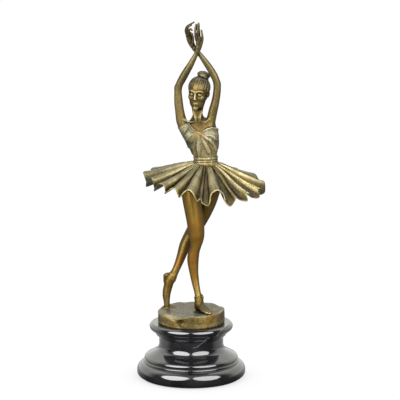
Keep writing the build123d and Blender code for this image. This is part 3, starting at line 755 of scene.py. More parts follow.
def face(p):
    """The skin of the head, in the head's own frame."""
    side = mirrored(p)
    value = ellipsoid(p, (0, 1.8, 5.2), (10.0, 11.8, 10.8))
    value = soft_join(value, ellipsoid(p, (0, -2.4, -2.6), (8.6, 9.2, 12.2)), 4.0)
    value = soft_join(value, ellipsoid(p, (0, -3.8, -10.0), (6.0, 6.6, 5.6)), 4.0)
    value = soft_join(value, ellipsoid(p, (0, -9.3, -14.0), (2.7, 2.3, 2.3)), 2.4)
    value = soft_join(value, ellipsoid(side, (5.2, -7.4, -2.8), (2.9, 2.9, 2.5)), 2.6)
    value = soft_join(value, BROW(side), 2.6)
    value = soft_cut(value, ellipsoid(side, (4.0, -12.4, 0.3), (2.8, 1.7, 1.6)), 2.4)
    value = soft_join(value, NOSE(p), 2.0)
    value = soft_join(value, ellipsoid(side, (1.3, -12.0, -4.5), (0.95, 1.2, 0.8)), 1.0)
    value = soft_join(value, ellipsoid(side, (4.1, -8.9, 0.2), (2.5, 2.35, 2.2)), 0.9)
    value = soft_cut(value, LASH_LINE(side), 0.5)
    value = soft_cut(value, LID_CREASE(side), 0.7)
    value = soft_join(value, soft_join(UPPER_LIP(side), LOWER_LIP(side), 0.5), 1.3)
    return soft_cut(value, MOUTH(p), 0.5)


def ears(p):
    side = mirrored(p)
    tilt = turned(-14, 0, -12)
    outer = ellipsoid(side, (9.7, 1.8, -0.6), (1.25, 2.3, 3.5), tilt)
    return soft_cut(outer, ellipsoid(side, (10.9, 1.4, 0.1), (0.8, 1.35, 2.2), tilt), 0.5)


BUN_CENTRE = np.array((2.6, 7.0, 17.0))
BUN_RADII = (6.5, 6, 4.4)
BUN_TURN = turned(-14, 10, 0)


def hair(p):
    """Hair drawn back from the face to a knot, in the head's own frame."""
    value = ellipsoid(p, (0, 2.5, 5.6), (11.2, 12.3, 11.3))
    value = soft_join(value, ellipsoid(p, (0, 6.0, -4.5), (7.6, 7.2, 6.4)), 4.0)
    axis = BUN_CENTRE - np.array((0, -1.0, 0.5))
    axis = axis / np.linalg.norm(axis)
    across = np.cross(axis, (1.0, 0, 0))
    across /= np.linalg.norm(across)
    q = p - np.array((0, 1.5, 3.5))
    round_bun = np.arctan2(q @ np.cross(axis, across), q @ across)
    strands = 0.5 + 0.5 * np.sin(30 * round_bun + 1.6 * np.sin(7 * round_bun))
    value = value + 0.42 * (1 - strands)
    value = np.maximum(value, -ellipsoid(p, (0, -10.2, -3.4), (11.6, 9.6, 13.8)))
    value = np.maximum(value, -(p[:, 2] + 9.0) * 0.8)
    b = (p - BUN_CENTRE) @ BUN_TURN
    coil = np.arctan2(b[:, 1], b[:, 0])
    ring = np.hypot(b[:, 0], b[:, 1])
    twist = 0.28 * np.sin(1.5 * ring + 2.0 * coil + 1.2 * b[:, 2])
    bun = ellipsoid(p, BUN_CENTRE, BUN_RADII, BUN_TURN) + twist
    band = np.abs(b[:, 2] + 3.0) - 0.7
    tie = np.maximum(ellipsoid(p, BUN_CENTRE - (0.0, 0.0, 3.0), (5.4, 5.2, 3.4), BUN_TURN), band)
    return soft_join(soft_join(value, bun, 0.8), tie, 0.4)


def head(p):
    q = (p - np.array(HEAD_PLACE)) @ HEAD_TURN / HEAD_SIZE
    value = soft_join(TORSO(p), join_all(p, NECK_CORDS, 1.0), 2.0)
    value = soft_join(face(q) * HEAD_SIZE, value, 2.2)
    value = soft_join(value, ears(q) * HEAD_SIZE, 0.7)
    return soft_join(value, hair(q) * HEAD_SIZE, 0.35)


def on_hair(p):
    """1 on the hair, 0 on the skin of the head and neck."""
    q = (p - np.array(HEAD_PLACE)) @ HEAD_TURN / HEAD_SIZE
    return np.clip(1.0 - hair(q) / 0.4, 0, 1)


def head_cut(p):
    return above(p, NECK_CUT)


# --- tutu skirt

SKIRT_CENTRE = np.array((14.0, 0.0, 236.0))
SKIRT_THICKNESS = 1.5

# the hem as it runs round the figure, from the front towards the figure's left:
# (degrees, radius, height, lean), where lean draws the cloth sideways into a rolled fold
HEM = [
    (-2, 63.5, 206, 0), (1.5, 66, 203.6, 0.6), (5, 63, 207, 0), (8.2, 61, 214.5, -0.6),
    (12.5, 63.5, 219.5, 0), (17.5, 63, 214, 0.6), (21, 63.5, 206, 0), (25.5, 66.5, 202.4, -0.4),
    (30, 64.5, 207, 0), (33.5, 65.5, 211, -1), (38, 63, 206.8, 0.3), (42, 66, 205.6, 0.8),
    (46, 63, 211.6, 0), (50, 65, 213.6, -1.2), (55, 62.5, 208, 0), (60, 66.5, 207, 0.9),
    (66, 63.5, 213.6, 0), (70.5, 65, 214.8, -1.4), (76, 62.5, 207, 0), (82, 66, 207.6, 1.4),
    (88, 66, 216.6, 0), (94, 64, 218, -1.4), (101, 62, 211, 0), (108, 65, 211.6, -0.6),
    (115, 64, 219, 0), (121, 65, 221, 0.8), (128, 62, 215, 0), (136, 65, 216, -0.6),
    (144, 63, 223.5, 0), (151, 64, 224.5, 0.6), (158, 61.5, 218, 0), (166, 64.5, 219, -0.6),
    (174, 63, 226, 0), (181, 64, 227, 0.8), (188, 61.5, 221, 0), (196, 64.5, 222, -0.6),
    (204, 63, 228.5, 0), (211, 64, 228.6, 0.8), (218, 61.5, 221, 0), (226, 64.5, 221.6, -0.6),
    (234, 64, 227.5, 0), (241, 65, 227.6, 0.8), (248, 62.5, 219.6, 0), (255, 65, 219.6, -0.8),
    (262, 65.5, 227, 0), (268, 65.5, 227.6, 2.3), (274, 62, 216, 0), (280, 63, 213.8, -2.3),
    (286.5, 63.5, 224.6, 0), (291.5, 63, 226, 2.2), (297, 60, 215.4, 0), (303, 61, 213.6, -2),
    (309, 63, 222.6, 0), (313, 63, 222.4, 1.5), (317.5, 61.5, 216, 0), (321.5, 63.5, 214, -1.1),
    (326.5, 63.5, 219.4, 0), (330, 64, 219.4, 0.6), (333.5, 63, 213.6, 0), (337, 65, 211.6, -0.4),
    (341, 64.5, 217.6, 0), (345, 65.5, 220, 0.2), (348.5, 64.5, 217.4, 0), (351, 63, 210, 0.3),
    (353.5, 65, 208, -0.3), (356, 64, 210.6, 0.3),
]
HEM_COLUMNS = 1008
HEM_ROWS = 40
HEM_SMOOTHING = 600  # rounds that level the hem's height into the plain cone under the pleats
CLOTH_DULLNESS = 0.12  # how far the skirt's even parts sit below a rubbed crest
FULL_WAVE = 4.5  # rise of a pleat over the mean hem that counts as a full crest
WAIST_RING = (12.1, 10.3)  # half width and half depth where the pleats leave the waistband


def periodic(turn, angles, values):
    """A smooth closed curve through values at angles."""
    a = np.concatenate([angles[-3:] - 360, angles, angles[:3] + 360])
    v = np.concatenate([values[-3:], values, values[:3]])
    i = np.clip(np.searchsorted(a, turn, side="right") - 1, 1, len(a) - 3)
    span = a[i + 1] - a[i]
    t = (turn - a[i]) / span
    m0 = (v[i + 1] - v[i - 1]) / (a[i + 1] - a[i - 1]) * span
    m1 = (v[i + 2] - v[i]) / (a[i + 2] - a[i]) * span
    start = (2 * t**3 - 3 * t**2 + 1) * v[i] + (t**3 - 2 * t**2 + t) * m0
    return start + (3 * t**2 - 2 * t**3) * v[i + 1] + (t**3 - t**2) * m1


def skirt_surface(columns, rows):
    """Middle surface of the skirt as a grid of points: rows from the waist out, columns round it."""
    hem = np.array(HEM, float)
    turn = np.linspace(hem[0, 0], hem[0, 0] + 360, columns, endpoint=False)
    radius = periodic(turn, hem[:, 0], hem[:, 1])
    height = periodic(turn, hem[:, 0], hem[:, 2])
    lean = periodic(turn, hem[:, 0], hem[:, 3])
    level = height.copy()
    for _ in range(HEM_SMOOTHING):
        level = (np.roll(level, 3) + level + np.roll(level, -3)) / 3
    t = np.linspace(0.0, 1.0, rows)[:, None]
    angle = np.radians(turn)
    waist_x = WAIST[0] + WAIST_RING[0] * np.sin(angle)
    waist_y = WAIST[1] - WAIST_RING[1] * np.cos(angle)
    waist_z = SKIRT_CENTRE[2] + 2.4 - 0.05 * (waist_x - WAIST[0]) + 0.08 * waist_y
    hem_angle = angle + np.radians(2.6) * lean
    hem_x = SKIRT_CENTRE[0] + radius * np.sin(hem_angle)
    hem_y = SKIRT_CENTRE[1] - radius * np.cos(hem_angle)
    x = waist_x + (hem_x - waist_x) * t
    y = waist_y + (hem_y - waist_y) * t
    bow = t - 0.30 * t * (1 - t) * (1.0 - 2.2 * t)
    fullness = t**0.8 * (1 - 0.10 * (1 - t))
    z = waist_z + (level - waist_z) * bow + (height - level) * fullness
    gathers = 0.6 * gathering(angle) * np.exp(-(((t - 0.08) / 0.20) ** 2))
    z = z + gathers
    ripple = noise(np.stack([x, y, np.full_like(x, 5.0)], -1).reshape(-1, 3), 9.0).reshape(x.shape)
    along = np.stack([30 * np.sin(angle) + 0 * t, 30 * np.cos(angle) + 0 * t, 5.0 * t + 0 * angle], -1)
    along = along.reshape(-1, 3)
    crinkle = (noise(along, 2.6) + 0.6 * noise(along + 40, 1.2)).reshape(x.shape)
    creases = (0.25 - np.abs(noise(along + 80, 3.4))).reshape(x.shape)
    spread = np.clip(t * 3, 0, 1) * (1 - 0.45 * t)
    z = z + 0.5 * ripple * t + (0.6 * crinkle + 1.3 * creases) * spread
    wave = (height - level) / FULL_WAVE + 0.5 * gathers
    return np.stack([x, y, z], -1), 1.35 * wave + 0.55 * crinkle + 1.6 * creases - CLOTH_DULLNESS


def skirt_mesh():
    """The skirt with thickness and a rounded hem, closed inside the waistband."""
    columns, rows = ((HEM_COLUMNS, HEM_ROWS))
    mid, wave = skirt_surface(columns, rows)
    across = np.roll(mid, -1, 1) - np.roll(mid, 1, 1)
    outward = np.gradient(mid, axis=0)
    normal = np.cross(outward, across)
    normal /= np.linalg.norm(normal, axis=2)[..., None]
    normal[normal[..., 2].mean(1) < 0] *= -1
    half = SKIRT_THICKNESS / 2
    lip = mid[-1] + outward[-1] / np.linalg.norm(outward[-1], axis=1)[:, None] * half * 0.9
    upper, lower = mid + normal * half, mid - normal * half
    layers = np.concatenate([upper, lip[None], lower[::-1]], 0)
    crest = np.concatenate([wave, np.full((1, columns), 0.5), -wave[::-1]], 0)
    return layers.reshape(-1, 3), grid_faces(len(layers), columns), crest.ravel()


BAND_COLUMNS = 600
BAND_DROP = 7.4  # how far the waistband's foot lies under the waist seam
BAND_PROFILE = [  # (how far out from the waist, rise above the foot)
    (-2, -3.6), (2.6, -3.6), (4.2, -2), (2.9, -1), (2.1, 0.4), (1.25, 2.4), (0.85, 4), (0.4, 4.4),
    (0.85, 4.8), (1, 5.6), (0.8, 6.3), (0.2, 6.7), (0.75, 7.1), (1, 8.2), (0.9, 9.3), (0.5, 9.9),
    (-0.3, 10.3), (-2, 10.3),
]
GATHERS = 46
GATHERS_END = 4.2  # rise above the waistband's foot where its gathered part gives way to two flat bands


def gathering(turn):
    """The fine gathers where the skirt is drawn in, as a wave round the waist."""
    return np.sin(GATHERS * turn + 2.0 * np.sin(3 * turn))


def waistband():
    """The gathered yoke and the two bands over it, as rings from inside the foot round to inside the top."""
    columns, foot = BAND_COLUMNS, WAIST_SEAM - BAND_DROP
    path = smooth_path([(grow, 0.0, rise) for grow, rise in BAND_PROFILE], spacing=0.4)
    turn = np.linspace(0, 2 * np.pi, columns, endpoint=False)
    grow, rise = path[:, 0][:, None], path[:, 2][:, None]
    crease = 0.10 * np.sin(4 * turn + rise * 0.2) + 0.06 * np.sin(19 * turn - rise * 0.5)
    gathered = np.clip((GATHERS_END - rise) / 3.0, 0, 1)
    uneven = 0.6 + 0.4 * np.sin(7 * turn + 1.0)
    spread = grow + crease + 0.03 * rise + 0.3 * gathered * gathering(turn) * uneven
    x = WAIST[0] - 0.03 * rise + (WAIST_RING[0] + spread) * np.sin(turn)
    y = WAIST[1] - (WAIST_RING[1] + spread) * np.cos(turn)
    z = foot + rise + np.zeros_like(x) + 0.03 * (x - WAIST[0])
    points = np.stack([x, y, z], -1)
    faces = grid_faces(len(path), columns)[:, [0, 3, 2, 1]]
    ridge = 1.3 * (grow - 0.85) * (1 - gathered) + (0.5 * gathering(turn) - 0.4) * gathered
    ridge = ridge + 0.5 * noise(points.reshape(-1, 3) * (1, 1, 0.5), 3.0).reshape(x.shape)
    return points.reshape(-1, 3), faces, ridge.ravel()


# --- plinth

# how far the plinth's rim is worn down: (degrees from the front, towards the figure's left; millimetres)
RIM_DROP = [
    (-180, 0.2), (-120, 0.4), (-90, 2), (-69, 3.4), (-48, 2.8), (-39, 3.8), (-31, 5), (-23, 4.3),
    (-18, 3.4), (-11, 1.2), (-2, 0.3), (20, -0.2), (32, 0.1), (43, -0.3), (54, -0.1), (72, -0.8),
    (95, -0.2), (130, 0.3), (180, 0.2),
]
# a lug on the plinth's front and the notch over it: (x, z), reach in (x, z), how far it stands out
PLINTH_MARKS = [((-10.8, 65.4), (1.7, 1.6), 1.3), ((-12.2, 68.4), (4, 3.6), -1.5)]


SIDE_RINGS = 26


def plinth_mesh():
    """A hand-modelled disc: ground relief on top, a chiselled rim and a tooled side."""
    columns = 420
    turn = np.linspace(0, 2 * np.pi, columns, endpoint=False)
    shares = np.concatenate([np.linspace(0.0, 0.94, 46)[1:], [0.955, 0.968, 0.98, 0.989, 0.996]])
    from_front = (np.degrees(turn) + 180) % 360 - 180
    drop_at, drop = np.array(RIM_DROP, float).T
    rim_wave = 0.3 * np.sin(5 * turn + 2.0) + 0.3 * np.sin(11 * turn) - np.interp(from_front, drop_at, drop)
    out = []
    for radius in shares * PLINTH_RADIUS:
        x, y = radius * np.sin(turn), -radius * np.cos(turn)
        flat = np.stack([x, y, np.zeros_like(x)], -1)
        share = radius / PLINTH_RADIUS
        relief = 0.55 * noise(flat, 9.0) + 0.28 * noise(flat + 50, 3.2) + 0.10 * noise(flat + 90, 1.2)
        edge = np.clip((share - 0.70) / 0.3, 0, 1) ** 1.6
        lip = np.clip((share - 0.94) / 0.06, 0, 1) ** 2
        z = PLINTH_TOP - 0.1 + relief * (1 - 0.4 * edge) + edge * rim_wave - 0.7 * lip
        out.append(np.stack([x, y, z], -1))
    top_edge = out[-1][:, 2]
    for i in range(SIDE_RINGS):
        share = i / (SIDE_RINGS - 1)
        level = top_edge - 0.4 + (PLINTH_FOOT - top_edge + 0.4) * share
        around = np.stack([PLINTH_RADIUS * np.sin(turn), -PLINTH_RADIUS * np.cos(turn), level], -1)
        tooled = 0.5 * noise(around * (1, 1, 0.5), 8.0) + 0.22 * noise(around + 30, 2.6)
        tooled = tooled + 0.08 * noise(around, 1.0)
        marks = 0
        for (x, z), (wide, tall), rise in PLINTH_MARKS:
            marks = marks + rise * np.exp(-(np.hypot((around[:, 0] - x) / wide, (level - z) / tall) ** 2))
        marks = np.where(around[:, 1] < 0, marks, 0)
        foot = -0.5 * np.clip((share - 0.9) / 0.1, 0, 1)
        radius = PLINTH_RADIUS - 0.2 + tooled * 0.8 + marks + foot
        out.append(np.stack([radius * np.sin(turn), -radius * np.cos(turn), level], -1))
    layers = np.stack(out)
    points = layers.reshape(-1, 3)
    faces = grid_faces(len(layers), columns, closed=False)
    centre_top, centre_foot = len(points), len(points) + 1
    points = np.vstack([points, (0, 0, layers[0][:, 2].mean()), (0, 0, PLINTH_FOOT)])
    around = np.arange(columns)
    after = (around + 1) % columns
    last = (len(layers) - 1) * columns
    top = np.stack([np.full(columns, centre_top), around, after], 1)
    foot = np.stack([np.full(columns, centre_foot), last + after, last + around], 1)
    faces = np.vstack([faces[:, [0, 1, 2]], faces[:, [0, 2, 3]], top, foot])
    return points, faces, crest_values(points, faces, 30) / 0.4


# --- casting the pieces

cast("leg_supporting", supporting_leg, leg_cut, "supporting_leg", "bronze_flesh", 0.42, (8, 12, 0.8))
cast("leg_crossed", crossed_leg, leg_cut, "crossed_leg", "bronze_flesh", 0.42, (6, 8, 0.8))
cast("hips", pelvis, pelvis_cut, "pelvis", "bronze_flesh", 0.8, (4, 5, 0.8))
cast("chest_and_bodice", torso, torso_cut, "torso", "bronze_cloth", 0.34, (10, 6, 2.0), cloth=on_cloth,
     calm=CLOTH_CALM)
cast("arm_right", right_arm, right_arm_cut, "right_arm", "bronze_flesh", 0.32, (6, 6, 6.0))
cast("arm_left", left_arm, left_arm_cut, "left_arm", "bronze_flesh", 0.32, (6, 6, 6.0))
cast("head_and_hair", head, head_cut, "head", "bronze_flesh", 0.26, (4, 4, 3.0), wear=0.2, cloth=on_hair)
make_piece("tutu", "tutu_skirt", "bronze_cloth", *skirt_mesh())
make_piece("waistband", "tutu_skirt", "bronze_cloth", *waistband())
make_piece("plinth", "bronze_plinth", "bronze_plinth", *plinth_mesh())

# --- materials


class Shader:
    """The node tree of a material or a world, built a node at a time."""

    def __init__(self, name, owners=bpy.data.materials):
        self.owner = owners.new(name)
        self.owner.use_nodes = True
        self.tree = self.owner.node_tree
        self.tree.nodes.clear()
        self.coordinates = self.node("TexCoord").outputs
        self.place = self.coordinates["Object"]

    def node(self, kind, inputs=(), **settings):
        node = self.tree.nodes.new("ShaderNode" + kind)
        for key, value in settings.items():
            setattr(node, key, value)
        for key, value in dict(inputs).items():
            if isinstance(value, bpy.types.NodeSocket):
                self.tree.links.new(value, node.inputs[key])
            else:
                node.inputs[key].default_value = value
        return node

    def stretched(self, scale):
        return self.node("Mapping", {"Vector": self.place, "Scale": scale}).outputs[0]

    def noise(self, size, detail=3.0, rough=0.55, vector=None, distortion=0.0):
        """Noise with features about size millimetres across."""
        inputs = {"Vector": vector or self.place, "Scale": 1.0 / (size * MM), "Detail": detail}
        inputs.update({"Roughness": rough, "Distortion": distortion})
        return self.node("TexNoise", inputs).outputs["Fac"]

    def attribute(self, name):
        return self.node("Attribute", attribute_name=name).outputs["Fac"]

    def math(self, operation, a, b=0.0, clamp=False):
        return self.node("Math", {0: a, 1: b}, operation=operation, use_clamp=clamp).outputs[0]

    def times(self, a, b):
        return self.math("MULTIPLY", a, b)

    def plus(self, a, b, clamp=False):
        return self.math("ADD", a, b, clamp)

    def less(self, a, b, clamp=False):
        return self.math("SUBTRACT", a, b, clamp)

    def parts(self, vector):
        return self.node("SeparateXYZ", {"Vector": vector}).outputs

    def span(self, value, low, high, to_low=0.0, to_high=1.0):
        inputs = {"Value": value, "From Min": low, "From Max": high, "To Min": to_low, "To Max": to_high}
        return self.node("MapRange", inputs).outputs[0]

    def mix(self, share, a, b, blend="MIX"):
        node = self.node("Mix", data_type="RGBA", blend_type=blend)
        for index, value in ((0, share), (6, a), (7, b)):
            if isinstance(value, bpy.types.NodeSocket):
                self.tree.links.new(value, node.inputs[index])
            elif index == 0:
                node.inputs[index].default_value = value
            else:
                node.inputs[index].default_value = (*value, 1.0)
        return node.outputs[2]

    def ramp(self, value, *stops):
        """A colour ramp through (position, colour) stops."""
        node = self.node("ValToRGB", {"Fac": value})
        elements = node.color_ramp.elements
        while len(elements) < len(stops):
            elements.new(0.5)
        for element, (position, colour) in zip(elements, stops):
            element.position = position
            element.color = (*colour, 1.0)
        return node.outputs["Color"]

    def for_camera(self, seen, unseen):
        """One shader for the camera's own rays and another for all the rest."""
        eye = self.node("LightPath").outputs["Is Camera Ray"]
        both = {0: eye, 1: unseen.outputs[0], 2: seen.outputs[0]}
        return self.node("MixShader", both).outputs[0]

    def hollows(self, distance):
        """1 in the open, falling to 0 in deep recesses of about distance millimetres."""
        node = self.node("AmbientOcclusion", {"Distance": distance * MM}, samples=6)
        return node.outputs["AO"]

    def facing(self):
        """0 where a surface faces the eye, 1 where it turns away."""
        return self.node("LayerWeight", {"Blend": 0.5}).outputs["Facing"]

    def near(self, centre, reach):
        """1 close to a point, falling to 0 at reach millimetres from it."""
        inputs = {0: self.place, 1: tuple(part * MM for part in centre)}
        gap = self.node("VectorMath", inputs, operation="DISTANCE").outputs["Value"]
        return self.span(gap, 0.35 * reach * MM, reach * MM, 1.0, 0.0)

    def bump(self, height, depth, normal=None):
        inputs = {"Height": height, "Distance": depth * MM, "Strength": 1.0}
        if normal is not None:
            inputs["Normal"] = normal
        return self.node("Bump", inputs).outputs["Normal"]

    def finish(self, colour, roughness, normal, **more):
        inputs = {"Base Color": colour, "Roughness": roughness, "Normal": normal}
        inputs.update({key.replace("_", " "): value for key, value in more.items()})
        surface = self.node("BsdfPrincipled", inputs)
        self.node("OutputMaterial", {"Surface": surface.outputs[0]})
        return self.owner


# colours are linear; tones are (hollow, middle, crest, stain)
CLOTH_METAL = 0.2  # cast cloth is less polished than skin
FLESH_TONES = ((0.022, 0.012, 0.003), (0.125, 0.079, 0.015), (0.270, 0.195, 0.065), (0.185, 0.080, 0.012))
HAIR_TONES = ((0.016, 0.010, 0.003), (0.080, 0.056, 0.014), (0.200, 0.150, 0.060), (0.090, 0.045, 0.010))
BODICE_TONES = ((0.024, 0.016, 0.005), (0.175, 0.136, 0.053), (0.330, 0.262, 0.122), (0.150, 0.080, 0.018))
CLOTH_TONES = ((0.036, 0.023, 0.006), (0.165, 0.128, 0.050), (0.360, 0.300, 0.155), (0.135, 0.085, 0.023))
PLINTH_TONES = ((0.022, 0.012, 0.003), (0.105, 0.070, 0.017), (0.250, 0.185, 0.080), (0.165, 0.070, 0.010))
KNOT_STAINS = (((7.4, -13, 273), 11),)
LEG_STAINS = (((5, -13, 162), 36), ((3, -9, 128), 36), ((-8, 12, 128), 20))
SHADE = (0.52, 0.54, 0.55)
DEEP_SHADE = (0.33, 0.34, 0.33)
# painted light and shade, as (centre, reach, colour): the figure's left arm, the hands, the right forearm and
# both feet darkened as if in shade, the right upper arm lightened as if lit
FLESH_PAINTED_LIGHT_AND_SHADE = (
    ((27, 0, 300), 30, (0.72, 0.72, 0.70)),
    ((-25, 0, 308), 26, (1.35, 1.32, 1.45)),
    ((3, -9, 382), 30, SHADE),
    ((-8, -7, 336), 18, SHADE),
    ((-26, 10, 92), 30, SHADE),
    ((14, -14, 80), 16, (0.42, 0.45, 0.52)),
)
# painted shade on the bare chest above the knot and on the bodice's right side
BODICE_PAINTED_SHADE = (((7.4, -5, 283), 12.5, DEEP_SHADE), ((-5, -6, 262), 17, SHADE))
# painted shade at both sides of the skirt
SKIRT_PAINTED_SHADE = (((-56, -6, 226), 60, DEEP_SHADE), ((94, 0, 216), 42, DEEP_SHADE))
# painted shade on the plinth's front and in the notch over its lug
PLINTH_PAINTED_SHADE = (((-5, -38, 67), 20, SHADE), ((-12.6, -34, 68.6), 6, SHADE))
GREEN_TINT = (0.74, 0.92, 0.80)
UPPER_TINT = (0.92, 1.06, 1.70)
# painted shade: the figure darkened towards its top
HIGH_PAINTED_SHADE = (0.50, 0.50, 0.50)
# painted shade: the figure darkened towards its back
REAR_PAINTED_SHADE = (0.50, 0.52, 0.50)
EDGE_TINT = (0.62, 0.52, 0.36, 1)
# partly dust and partly painted light: faces that look up are lightened towards this grey
DUST_AND_TOP_LIGHT = (0.50, 0.50, 0.39)
UPPER_BAND = (235, 275)  # heights in mm over which UPPER_TINT sets in, and on the next line those over which the painted shade towards the top sets in
HIGH_SHADE_BAND = (300, 365)
REAR_SHADE_BAND = (3, 13)  # depths in mm over which the painted shade towards the back sets in


def cast_bronze(name, flesh, cloth, stains=(), painted_light_and_shade=(), metal=0.5, top_dust_and_light=0.3, recess=6.0):
    """Patinated bronze: flesh and cloth are (hollow, middle, crest, stain) colours.

    stains are places, as (centre, reach), where the patina is rubbed through to a redder brown;
    the places after them, as (centre, reach, colour), are painted shade where the colour darkens and painted
    light where it lightens.
    """
    s = Shader(name)
    relief = s.attribute("crest")
    cloud = s.noise(11.0, 3.0)
    mottle = s.noise(2.2, 4.0)
    height = s.plus(s.times(relief, 0.34), s.times(mottle, 0.24))
    height = s.plus(height, 0.36, clamp=True)
    stained = s.span(cloud, 0.46, 0.70, 0.0, 0.5 if stains else 0.75)
    for centre, reach in stains:
        spot = s.times(s.near(centre, reach), s.span(cloud, 0.30, 0.65, 0.35, 1.0))
        stained = s.math("MAXIMUM", stained, spot)
    tones = []
    for hollow, middle, crest, stain in (flesh, cloth):
        tone = s.ramp(height, (0.14, hollow), (0.46, middle), (0.74, crest))
        tones.append(s.mix(stained, tone, stain))
    colour = s.mix(s.attribute("cloth"), *tones)
    _, depth, level = s.parts(s.place)
    # the first band shifts the hue of the upper figure; the second is painted shade, darker towards the top
    for (low, high), tint in ((UPPER_BAND, UPPER_TINT), (HIGH_SHADE_BAND, HIGH_PAINTED_SHADE)):
        colour = s.mix(s.span(level, low * MM, high * MM), colour, tint, "MULTIPLY")
    # painted light and shade at the given places, multiplied into the colour
    for centre, reach, tint in painted_light_and_shade:
        colour = s.mix(s.near(centre, reach), colour, tint, "MULTIPLY")
    colour = s.mix(s.span(s.noise(6.0, 3.0), 0.50, 0.66, 0.0, 0.8), colour, GREEN_TINT, "MULTIPLY")
    # painted shade, darker towards the back
    colour = s.mix(s.span(depth, REAR_SHADE_BAND[0] * MM, REAR_SHADE_BAND[1] * MM), colour, REAR_PAINTED_SHADE, "MULTIPLY")
    upward = s.parts(s.node("NewGeometry").outputs["Normal"])[2]
    # partly dust, partly painted light: faces that look up are lightened
    dust_and_top_light = s.span(mottle, 0.3, 0.7, 0.45 * top_dust_and_light, top_dust_and_light)
    dust_and_top_light = s.times(s.span(upward, 0.72, 0.98), dust_and_top_light)
    colour = s.mix(dust_and_top_light, colour, DUST_AND_TOP_LIGHT)
    # painted shade: darker in recesses, by ambient occlusion, and where the surface turns away from the eye
    open_share = s.hollows(recess)
    shade = s.span(s.math("POWER", open_share, 1.3), 0.0, 1.0, 0.16, 1.0)
    shade = s.times(shade, s.span(s.facing(), 0.20, 0.82, 1.0, 0.10))
    grey = s.node("CombineColor", {"Red": shade, "Green": shade, "Blue": shade}).outputs[0]
    colour = s.mix(1.0, colour, grey, "MULTIPLY")
    roughness = s.span(height, 0.2, 0.8, 0.46, 0.28)
    roughness = s.plus(roughness, s.span(s.noise(3.0), 0.3, 0.7, -0.05, 0.05))
    normal = s.bump(s.noise(0.5, 4.0), 0.03)
    normal = s.bump(s.noise(3.4, 2.0), 0.14, normal)
    metal = s.span(s.attribute("cloth"), 0.0, 1.0, metal, min(metal, CLOTH_METAL))
    return s.finish(colour, roughness, normal, Metallic=metal, Specular_IOR_Level=0.3, Specular_Tint=EDGE_TINT)


CRACK_AT = 38.3  # height in mm at which the socle's long pale crack would meet its axis


def polished_marble(name):
    """Black marble: deep ground, grey clouding, fine white veins and scattered flecks."""
    s = Shader(name)
    ground = s.ramp(s.noise(26.0, 5.0), (0.35, (0.003, 0.003, 0.004)), (0.75, (0.014, 0.014, 0.015)))
    bent = s.noise(30.0, 4.0, distortion=1.2)
    vein = s.math("ABSOLUTE", s.less(bent, 0.5))
    vein = s.span(vein, 0.0, 0.004, 0.6, 0.0)
    broken = s.span(s.noise(8.0, 3.0), 0.54, 0.66)
    vein = s.times(vein, broken)
    fleck = s.span(s.noise(1.1, 2.0), 0.75, 0.82, 0.0, 0.7)
    fleck = s.times(fleck, s.span(s.noise(14.0, 2.0), 0.53, 0.65))
    across, back, up = s.parts(s.place)
    along = s.plus(s.times(across, -0.62), up)
    wander = s.times(s.less(s.noise(12.0, 4.0), 0.5), 11.0 * MM)
    crack = s.math("ABSOLUTE", s.plus(s.less(along, CRACK_AT * MM), wander))
    crack = s.span(crack, 0.15 * MM, 0.55 * MM, 1.0, 0.0)
    crack = s.times(crack, s.span(across, 1.0 * MM, 8.0 * MM))
    crack = s.times(crack, s.span(back, -10.0 * MM, -20.0 * MM))
    white = s.math("MAXIMUM", s.math("MAXIMUM", vein, fleck), crack)
    colour = s.mix(s.times(white, 0.6), ground, (0.16, 0.16, 0.15))
    roughness = s.span(s.noise(6.0, 3.0), 0.3, 0.7, 0.08, 0.14)
    normal = s.bump(s.noise(18.0, 2.0), 0.05)
    return s.finish(colour, roughness, normal, IOR=1.8)


def plated_steel(name):
    s = Shader(name)
    dull = s.noise(4.0, 4.0)
    colour = s.ramp(dull, (0.3, (0.33, 0.33, 0.32)), (0.7, (0.55, 0.54, 0.50)))
    # painted shade: darker in recesses, by ambient occlusion
    recess_shade = s.less(1.0, s.hollows(2.0), clamp=True)
    colour = s.mix(s.times(recess_shade, 0.8), colour, (0.05, 0.045, 0.035))
    turning = s.noise(0.5, 2.0, vector=s.stretched((1, 1, 12)))
    return s.finish(colour, s.span(dull, 0.3, 0.7, 0.28, 0.5), s.bump(turning, 0.01), Metallic=1.0)


def drawn_bronze(name):
    s = Shader(name)
    dull = s.noise(3.0, 4.0)
    colour = s.ramp(dull, (0.3, (0.35, 0.18, 0.07)), (0.7, (0.62, 0.36, 0.15)))
    scored = s.noise(0.4, 3.0, vector=s.stretched((6, 6, 1)))
    return s.finish(colour, s.span(dull, 0.3, 0.7, 0.3, 0.5), s.bump(scored, 0.02), Metallic=1.0)


def green_baize(name):
    s = Shader(name)
    nap = s.noise(0.7, 5.0, 0.7)
    colour = s.ramp(nap, (0.3, (0.003, 0.010, 0.006)), (0.7, (0.008, 0.022, 0.012)))
    worn = s.span(s.noise(11.0, 3.0), 0.45, 0.75, 0.0, 0.45)
    colour = s.mix(worn, colour, (0.014, 0.026, 0.017))
    return s.finish(colour, s.span(nap, 0.0, 1.0, 0.9, 1.0), s.bump(nap, 0.3))


